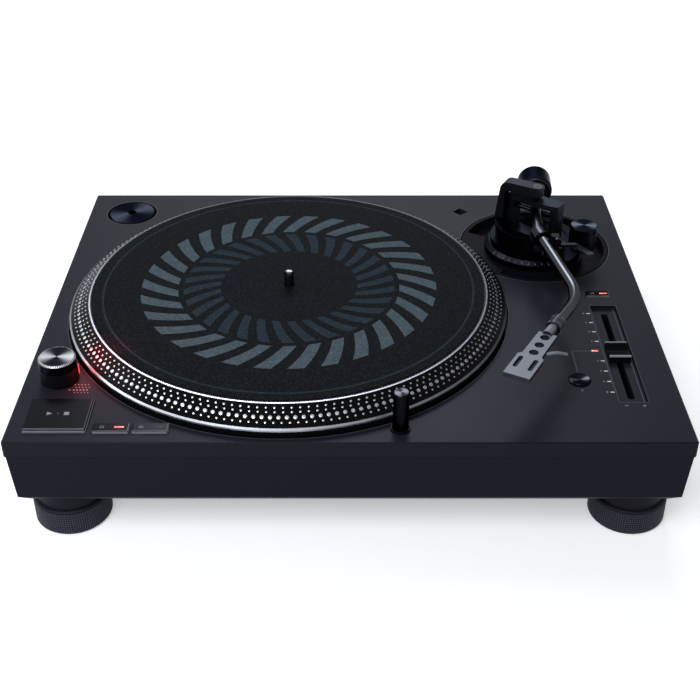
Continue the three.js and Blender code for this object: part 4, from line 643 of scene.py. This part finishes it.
def strobe_dots():
    slope = (BAND_OUTER[1] - BAND_INNER[1]) / (BAND_OUTER[0] - BAND_INNER[0])
    tilt = math.atan(slope)
    sides = 12
    dome = ((1.0, -0.05), (0.86, 0.24), (0.5, 0.36))
    round_points = [(math.cos(TAU * j / sides), math.sin(TAU * j / sides)) for j in range(sides)]
    mesh = bmesh.new()
    for radius, count, size, phase in DOT_ROWS:
        height = DECK_TOP + BAND_INNER[1] + slope * (radius - BAND_INNER[0])
        for i in range(count):
            angle = -math.pi / 2 + phase + TAU * i / count
            turn = Matrix.Translation((PLATTER.x, PLATTER.y, 0)) @ Matrix.Rotation(angle, 4, "Z")
            turn = turn @ Matrix.Translation((radius, 0, height)) @ Matrix.Rotation(-tilt, 4, "Y")
            rings = [
                [mesh.verts.new(turn @ Vector((x * size * share, y * size * share, level)))
                 for x, y in round_points]
                for share, level in dome
            ]
            mesh.faces.new(rings[0][::-1])
            mesh.faces.new(rings[-1])
            for below, above in zip(rings, rings[1:]):
                for j in range(sides):
                    k = (j + 1) % sides
                    mesh.faces.new((below[j], below[k], above[k], above[j]))
    piece("strobe_dots", mesh, dot_finish(), "platter_body", "platter_metal")


strobe_dots()


# Lines, figures and lamps on the deck

INK_WHITE = painted("print_white", (0.55, 0.55, 0.57), 0.5, 0.1)
INK_GREY = painted("print_grey", (0.22, 0.22, 0.24), 0.5, 0.1)
INK_DIM = painted("print_dim", (0.10, 0.10, 0.115), 0.5, 0.1)
RED_LAMP = lens_finish("red_lamp", (1.0, 0.13, 0.11), 1.2)
AMBER_LAMP = lens_finish("amber_lamp", (0.95, 0.17, 0.09), 0.9)
DARK_LAMP = painted("dark_lamp", (0.05, 0.05, 0.055), 0.3, 0.1)
PRINT = DECK_TOP + 0.02
SCALE_STEP = 12.65
SCALE_STEPS = 4


def fader_scale():
    """Dashes and figures left of the fader, fine lines beside it, a lamp, a minus and a plus."""
    parts = 5
    dash_size = (2.8, 1.05, 0.05)
    sign_length = 2.6
    sign_width = 0.5
    sign_inset = 3.6
    line_width = 0.42
    low, high = corners("fader_panel")
    sign_row = low.y - 4.4
    reset_low, reset_high = corners("reset_button")
    dashes = FADER.x - 12.9
    line = middle("reset_button").x + 0.2
    marks = bmesh.new()
    figures = bmesh.new()
    for i in range(-SCALE_STEPS, SCALE_STEPS + 1):
        y = FADER.y + i * SCALE_STEP
        if i:
            add_block(marks, (dashes, y, PRINT), dash_size)
            add_text(figures, str(2 * abs(i)), (dashes - 3.6, y, PRINT), 2.1)
    piece("fader_dashes", marks, INK_WHITE, "plinth", "grey_plate")
    add_text(figures, "0", ((reset_low.x + reset_high.x) / 2, reset_low.y - 4.3, PRINT), 2.2)
    for x in (low.x + sign_inset, high.x - sign_inset):
        add_block(figures, (x, sign_row, PRINT), (sign_length, sign_width, 0.04))
    add_block(figures, (high.x - sign_inset, sign_row, PRINT), (sign_width, sign_length, 0.04))
    piece("fader_figures", figures, INK_GREY, "plinth", "grey_plate")
    fine = bmesh.new()
    for i in range(-parts * SCALE_STEPS, parts * SCALE_STEPS + 1):
        y = FADER.y + i * SCALE_STEP / parts
        add_block(fine, (low.x - 1.5, y, PRINT), (1.1 if i < 0 else 0.6, 0.4, 0.04))
    add_block(fine, (line + 7.2, FADER.y, PRINT), (14.4, line_width, 0.04))
    foot = reset_high.y + 2.2
    add_block(fine, (line, (FADER.y + foot) / 2, PRINT), (line_width, FADER.y - foot, 0.04))
    piece("fader_lines", fine, INK_DIM, "plinth", "grey_plate")
    lamp = bmesh.new()
    add_block(lamp, (FADER.x - 16.5, FADER.y, PRINT), (4.8, 1.8, 0.5), bevel=0.12)
    piece("fader_lamp", lamp, AMBER_LAMP, "plinth", "red_lens")


fader_scale()


def key_marks(body, node, words, lamp_finish, lamp_size):
    """Figures near a key's left end and a lamp near its right end."""
    figures_share = 0.25
    lamp_share = 0.72
    low, high = corners(node)
    y = (low.y + high.y) / 2
    marks = bmesh.new()
    add_text(marks, words, (low.x + (high.x - low.x) * figures_share, y, high.z + 0.02), 2.4)
    piece(f"{body}_figures", marks, INK_GREY, body, "grey_plate")
    lamp = bmesh.new()
    add_block(lamp, (low.x + (high.x - low.x) * lamp_share, y, high.z), (*lamp_size, 0.3), bevel=0.1)
    piece(f"{body}_lamp", lamp, lamp_finish, body, "red_lens")


key_marks("speed_33_key", "speed_33_button", "33", RED_LAMP, (6.4, 1.5))
key_marks("speed_45_key", "speed_45_button", "45", DARK_LAMP, (6.4, 1.0))
key_marks("range_key", "pitch_range_button", "x2", AMBER_LAMP, (6.0, 1.5))


def start_sign():
    """A triangle, a point and a square, for start and stop."""
    point_size = 0.7
    square_size = 3.4
    top = corners("start_stop_button")[1].z
    x, y = middle("start_stop_button").xy
    triangle = [(x - 7.6, y - 1.9), (x - 4.0, y), (x - 7.6, y + 1.9)]
    mesh = bmesh.new()
    add_plate(mesh, triangle, top - 0.02, top + 0.03)
    add_block(mesh, (x, y, top), (point_size, point_size, 0.05))
    add_block(mesh, (x + 5.6, y, top), (square_size, square_size, 0.05))
    piece("start_sign", mesh, INK_GREY, "start_key", "grey_plate")


start_sign()


def strobe_sign():
    """Four short rows of dots, like those on the platter, with a pointer at the large row."""
    dot_sizes = (0.42, 0.42, 0.62, 0.42)
    columns = 5
    column_step = 2.3
    row_step = 3.1
    row_shift = 1.1
    mesh = bmesh.new()
    window = middle("strobe_window")
    left = window.x + 2.2
    front = window.y - 14.2
    for row, size in enumerate(dot_sizes):
        for column in range(columns):
            place = (left + column * column_step + (row % 2) * row_shift, front - row * row_step, PRINT)
            bmesh.ops.create_cone(
                mesh, cap_ends=True, segments=12, radius1=size, radius2=size, depth=0.04,
                matrix=Matrix.Translation(place))
    tip = front - 6.2
    pointer = [(left - 3.2, tip - 1), (left - 1.8, tip), (left - 3.2, tip + 1)]
    add_plate(mesh, pointer, PRINT - 0.02, PRINT + 0.02)
    piece("strobe_sign", mesh, INK_GREY, "plinth", "grey_plate")


strobe_sign()


# Painted highlights along the edges of the openings in the deck

OPENING_EDGE_HIGHLIGHT = painted("opening_edge_highlight", (0.075, 0.078, 0.092), 0.4, 0.05)


def round_edge(name, centre, inner):
    """A thin ring that stands in a round opening and shows above the deck; its lighter paint is a painted
    highlight on the opening's edge.
    """
    profile = [
        (inner, DECK_TOP - 0.3), (inner + 0.5, DECK_TOP - 0.3), (inner + 0.55, DECK_TOP + 0.03),
        (inner + 0.2, DECK_TOP + 0.03), (inner, DECK_TOP - 0.2),
    ]
    mesh = bmesh.new()
    add_lathe(mesh, profile, centre, 240)
    piece(name, mesh, OPENING_EDGE_HIGHLIGHT, "plinth", "deck_paint")


# Thin strips round the fader's recess; their lighter paint is a painted highlight on its edges.
def fader_edge():
    rim = 0.3
    gap = 0.45
    low, high = corners("fader_panel")
    mesh = bmesh.new()
    for x in (low.x - gap, high.x + gap):
        add_block(mesh, (x, FADER.y, DECK_TOP), (rim, high.y - low.y + 1.2, 0.06))
    for y in (low.y - gap, high.y + gap):
        add_block(mesh, (FADER.x, y, DECK_TOP), (high.x - low.x + 0.6, rim, 0.06))
    piece("fader_edge", mesh, OPENING_EDGE_HIGHLIGHT, "plinth", "deck_paint")


round_edge("well_edge", PLATTER, 167.3)
round_edge("adapter_edge", middle("adapter_45"), 21.3)
round_edge("arm_well_edge", middle("arm_well_pan"), 61.2)
fader_edge()


# The arm's tube: a straight length, one bend and a short tail, measured from the arm's pivot

TUBE_RADIUS = 4.0
TUBE_LEVEL = 36.0
TUBE_BEND_RADIUS = 52.0
TUBE_LEGS = (97.0, 43.0)
TUBE_START = (37.8, 5.3)
ARM_TURN = -4.0
TUBE_TURNS = (14.0, -26.0)


def arm_tube():
    def ahead(point, degrees, length):
        angle = math.radians(degrees)
        return point + Vector((math.sin(angle), -math.cos(angle), 0)) * length

    first, last = TUBE_TURNS
    corner_length = TUBE_BEND_RADIUS * math.tan(math.radians(first - last) / 2)
    root = Vector((0, -TUBE_START[0], 0))
    corner = ahead(root, first, TUBE_LEGS[0])
    bend = ahead(corner, first, -corner_length)
    steps = 40
    route = [(ahead(root, first, TUBE_START[1]), first)]
    point, step = bend, math.radians(first - last) / steps
    chord = 2 * TUBE_BEND_RADIUS * math.sin(step / 2)
    route.append((point, first))
    for i in range(steps):
        point = ahead(point, first - (first - last) * (i + 0.5) / steps, chord)
        route.append((point, first - (first - last) * (i + 1) / steps))
    route.append((ahead(corner, last, TUBE_LEGS[1]), last))
    turn = Matrix.Translation((PIVOT.x, PIVOT.y, DECK_TOP + TUBE_LEVEL))
    turn = turn @ Matrix.Rotation(math.radians(ARM_TURN), 4, "Z")
    sides = 32
    mesh = bmesh.new()
    rings = []
    for place, degrees in route:
        angle = math.radians(degrees)
        side = Vector((math.cos(angle), math.sin(angle), 0))
        rings.append([
            mesh.verts.new(turn @ (place + side * TUBE_RADIUS * math.cos(TAU * i / sides)
                                   + Vector((0, 0, TUBE_RADIUS * math.sin(TAU * i / sides)))))
            for i in range(sides)
        ])
    mesh.faces.new(rings[0])
    mesh.faces.new(rings[-1][::-1])
    for here, there in zip(rings, rings[1:]):
        for i in range(sides):
            j = (i + 1) % sides
            mesh.faces.new((here[i], here[j], there[j], there[i]))
    piece("round_arm_tube", mesh, FINISHES["tube_chrome"], "arm", "tube_chrome", "arm_tube")


arm_tube()


# Knurls, marks and slots on small round pieces

def around(centre, radius, angle, height):
    return (centre.x + radius * math.cos(angle), centre.y + radius * math.sin(angle), height)


def power_knurl():
    centre = middle("power_knob")
    top = corners("power_knob")[1].z
    count = 64
    radius = 12.35
    mesh = bmesh.new()
    for i in range(count):
        angle = TAU * i / count
        place = around(centre, radius, angle, top - 0.65)
        add_block(mesh, place, (1.7, 0.55, 0.34), turn=math.degrees(angle), tilt=45, bevel=0.06)
    piece("power_knurl", mesh, metal("knurl_metal", (0.50, 0.50, 0.52), 0.3), "power", "satin_metal")


def foot_grips():
    """Rows of small square studs round each foot's ring, coloured lighter than the foot as a painted
    highlight.
    """
    stud_highlight = painted("stud_rubber_highlight", (0.060, 0.060, 0.078), 0.4, 0.1, 0.02)
    rows = 9
    columns = 104
    radius = 26.95
    lowest = 2.8
    row_step = 1.95
    for corner in ("front_left", "front_right", "rear_left", "rear_right"):
        centre = middle(f"foot_{corner}")
        mesh = bmesh.new()
        for row in range(rows):
            for column in range(columns):
                angle = TAU * column / columns
                place = around(centre, radius, angle, lowest + row * row_step)
                add_block(mesh, place, (0.8, 0.95, 1.15), turn=math.degrees(angle))
        piece(f"foot_grip_{corner}", mesh, stud_highlight, f"pad_{corner}", "foot_rubber")


def ring_ticks():
    """Short marks round the front of the arm's height ring."""
    ticks = 13
    first_tick = -150
    tick_step = 8
    radius = 38.0
    top = corners("height_ring")[1].z
    mesh = bmesh.new()
    for i in range(ticks):
        angle = math.radians(first_tick + i * tick_step)
        length = 2.2 if i % 3 == 0 else 1.3
        place = around(PIVOT, radius + length / 4, angle, top - 1.5)
        add_block(mesh, place, (length, 0.4, 0.12), turn=math.degrees(angle), tilt=45)
    piece("ring_ticks", mesh, INK_GREY, "ring", "grey_plate")


def nut_ridges():
    """Two bands of fine ridges along the headshell nut."""
    count = 30
    radius = 5.25
    bands = ((-3.4, 3.6), (3.6, 2.6))
    centre = middle("headshell_nut")
    along = Matrix.Translation(centre) @ Matrix.Rotation(math.radians(ARM_TURN + TUBE_TURNS[1] - 90), 4, "Z")
    mesh = bmesh.new()
    for offset, length in bands:
        for i in range(count):
            turn = along @ Matrix.Rotation(TAU * i / count, 4, "X") @ Matrix.Translation((offset, 0, radius))
            made = bmesh.ops.create_cube(mesh, size=1, matrix=turn @ Matrix.Diagonal((length, 0.5, 0.5, 1)))
            edges = {e for v in made["verts"] for e in v.link_edges}
            bmesh.ops.bevel(mesh, geom=list(edges), offset=0.1, segments=1, affect="EDGES")
    piece("nut_ridges", mesh, metal("ridge_metal", (0.085, 0.088, 0.098), 0.24), "nut", "steel")


def phono_jacks():
    """A gilt sleeve round each jack in the rear wall, with a white or a red disc."""
    centre = middle("phono_terminal")
    tip = corners("phono_terminal")[1].y - 7.5
    sleeve_profile = [(4.15, -6.5), (4.5, -6.5), (4.5, -0.1), (4.3, 0.15), (3.2, 0.15), (3.2, -0.05)]
    disc_profile = [(1.3, -0.05), (3.1, -0.05), (3.1, 0.12), (2.9, 0.2), (1.5, 0.2), (1.3, 0.1)]
    sleeves = bmesh.new()
    for name, across, colour in (("left", -20, (0.60, 0.60, 0.58)), ("right", 0, (0.50, 0.02, 0.02))):
        turn = Matrix.Translation((centre.x + across, tip, centre.z)) @ Matrix.Rotation(-math.pi / 2, 4, "X")
        sleeve = bmesh.new()
        add_lathe(sleeve, sleeve_profile, (0, 0), 48)
        sleeve.transform(turn)
        shape = bpy.data.meshes.new("sleeve")
        sleeve.to_mesh(shape)
        sleeve.free()
        sleeves.from_mesh(shape)
        bpy.data.meshes.remove(shape)
        disc = bmesh.new()
        add_lathe(disc, disc_profile, (0, 0), 48)
        disc.transform(turn)
        plastic = painted(f"jack_{name}", colour, 0.4, 0.3)
        piece(f"jack_disc_{name}", disc, plastic, "plinth", "gloss_plastic")
    piece("jack_sleeves", sleeves, FINISHES["brass"], "plinth", "brass")


# The slot is a thin black block on the screw's head: painted shade where the groove would be dark.
def screw_slot():
    x, y = middle("top_pivot_screw").xy
    place = (x, y, corners("top_pivot_screw")[1].z)
    mesh = bmesh.new()
    add_block(mesh, place, (5.6, 1.0, 0.1), turn=25, bevel=0.03)
    piece("pivot_screw_slot", mesh, FINISHES["black_plastic"], "arm_mount", "black_plastic")


power_knurl()
foot_grips()
ring_ticks()
nut_ridges()
phono_jacks()
screw_slot()


# Studio

SHADE_LEVEL = 0.15
FLOOR_NEAR_GLOW = 0.40
FLOOR_FAR = 2.2


def studio():
    size = 12.0
    floor_mesh = bpy.data.meshes.new("floor")
    square = [(-size, -size, 0), (size, -size, 0), (size, size, 0), (-size, size, 0)]
    floor_mesh.from_pydata(square, [], [(0, 1, 2, 3)])
    floor = bpy.data.objects.new("floor", floor_mesh)
    floor.location.z = corners("foot_front_left")[0].z * MM
    bpy.context.scene.collection.objects.link(floor)
    pale = Finish("floor_pale", roughness=0.9, specular_ior_level=0.0, emission_strength=1.0)
    pale.set(base_color=pale.mix(pale.noise(30.0), grey(0.90), grey(0.92)))
    x, y, _ = pale.axes()
    away = ((x * x + y * y) ** 0.5 / (FLOOR_FAR / MM)) ** 2.0
    glow = pale.mix(away.smaller(1.0), grey(FLOOR_NEAR_GLOW), grey(0.95))
    pale.set(emission_color=pale.mix(pale.seen(), grey(0.0), glow))
    floor_mesh.materials.append(pale.material)

    world = bpy.data.worlds.new("studio")
    bpy.context.scene.world = world
    world.use_nodes = True
    sky = Nodes(world.node_tree)
    background = world.node_tree.nodes["Background"]
    sky.feed(background.inputs["Color"], grey(1.0))
    sky.feed(background.inputs["Strength"], SHADE_LEVEL + sky.seen() * (1 - SHADE_LEVEL))

    def lamp(name, place, target, width, depth, power, colour):
        light = bpy.data.lights.new(name, "AREA")
        light.shape = "RECTANGLE"
        light.size = width
        light.size_y = depth
        light.energy = power
        light.color = colour
        obj = bpy.data.objects.new(name, light)
        obj.location = place
        obj.rotation_euler = (Vector(target) - Vector(place)).to_track_quat("-Z", "Y").to_euler()
        obj.visible_glossy = width > glow_width
        bpy.context.scene.collection.objects.link(obj)

    glow_width = 0.014
    cool = (0.90, 0.94, 1.0)
    lamp("rear_softbox", (-0.05, 1.6, 1.5), (0.0, -0.05, 0.1), 1.0, 0.62, 27, cool)
    lamp("left_softbox", (-1.3, 0.2, 1.0), (0, 0, 0.1), 0.3, 0.8, 5, cool)
    lamp("front_softbox", (-0.40, -0.9, 0.95), (-0.1, -0.1, 0.1), 0.8, 0.6, 13, cool)
    window = middle("strobe_window") * MM
    red = (1, 0.04, 0.05)
    lamp("deck_glow", window + Vector((0.004, -0.012, 0.006)), window + Vector((0.004, -0.015, -0.006)),
         glow_width, glow_width, 0.012, red)
    lamp("dot_glow", window + Vector((0.012, 0.002, 0.020)), window + Vector((0.024, 0.004, 0.006)),
         glow_width, glow_width, 0.040, red)


# The pinhole camera fitted to the photo, whose width, focal length and optical centre are in pixels

PHOTO_WIDTH = 700
FOCAL_LENGTH = 1176.976
OPTICAL_CENTRE = (351.822, 352.553)
SENSOR_WIDTH = 36
LOOKS_DOWN = 0.598


def camera():
    data = bpy.data.cameras.new("camera")
    data.lens = SENSOR_WIDTH * FOCAL_LENGTH / PHOTO_WIDTH
    data.sensor_width = SENSOR_WIDTH
    data.shift_x = -(OPTICAL_CENTRE[0] - PHOTO_WIDTH / 2) / PHOTO_WIDTH
    data.shift_y = (OPTICAL_CENTRE[1] - PHOTO_WIDTH / 2) / PHOTO_WIDTH
    data.clip_start = 0.01
    data.clip_end = 50
    obj = bpy.data.objects.new("camera", data)
    obj.location = (0.00128, -0.77785, 0.5775)
    obj.rotation_euler = (math.pi / 2 - LOOKS_DOWN, 0, 0)
    bpy.context.scene.collection.objects.link(obj)
    bpy.context.scene.camera = obj


studio()
camera()
bpy.context.scene.view_settings.view_transform = "Standard"
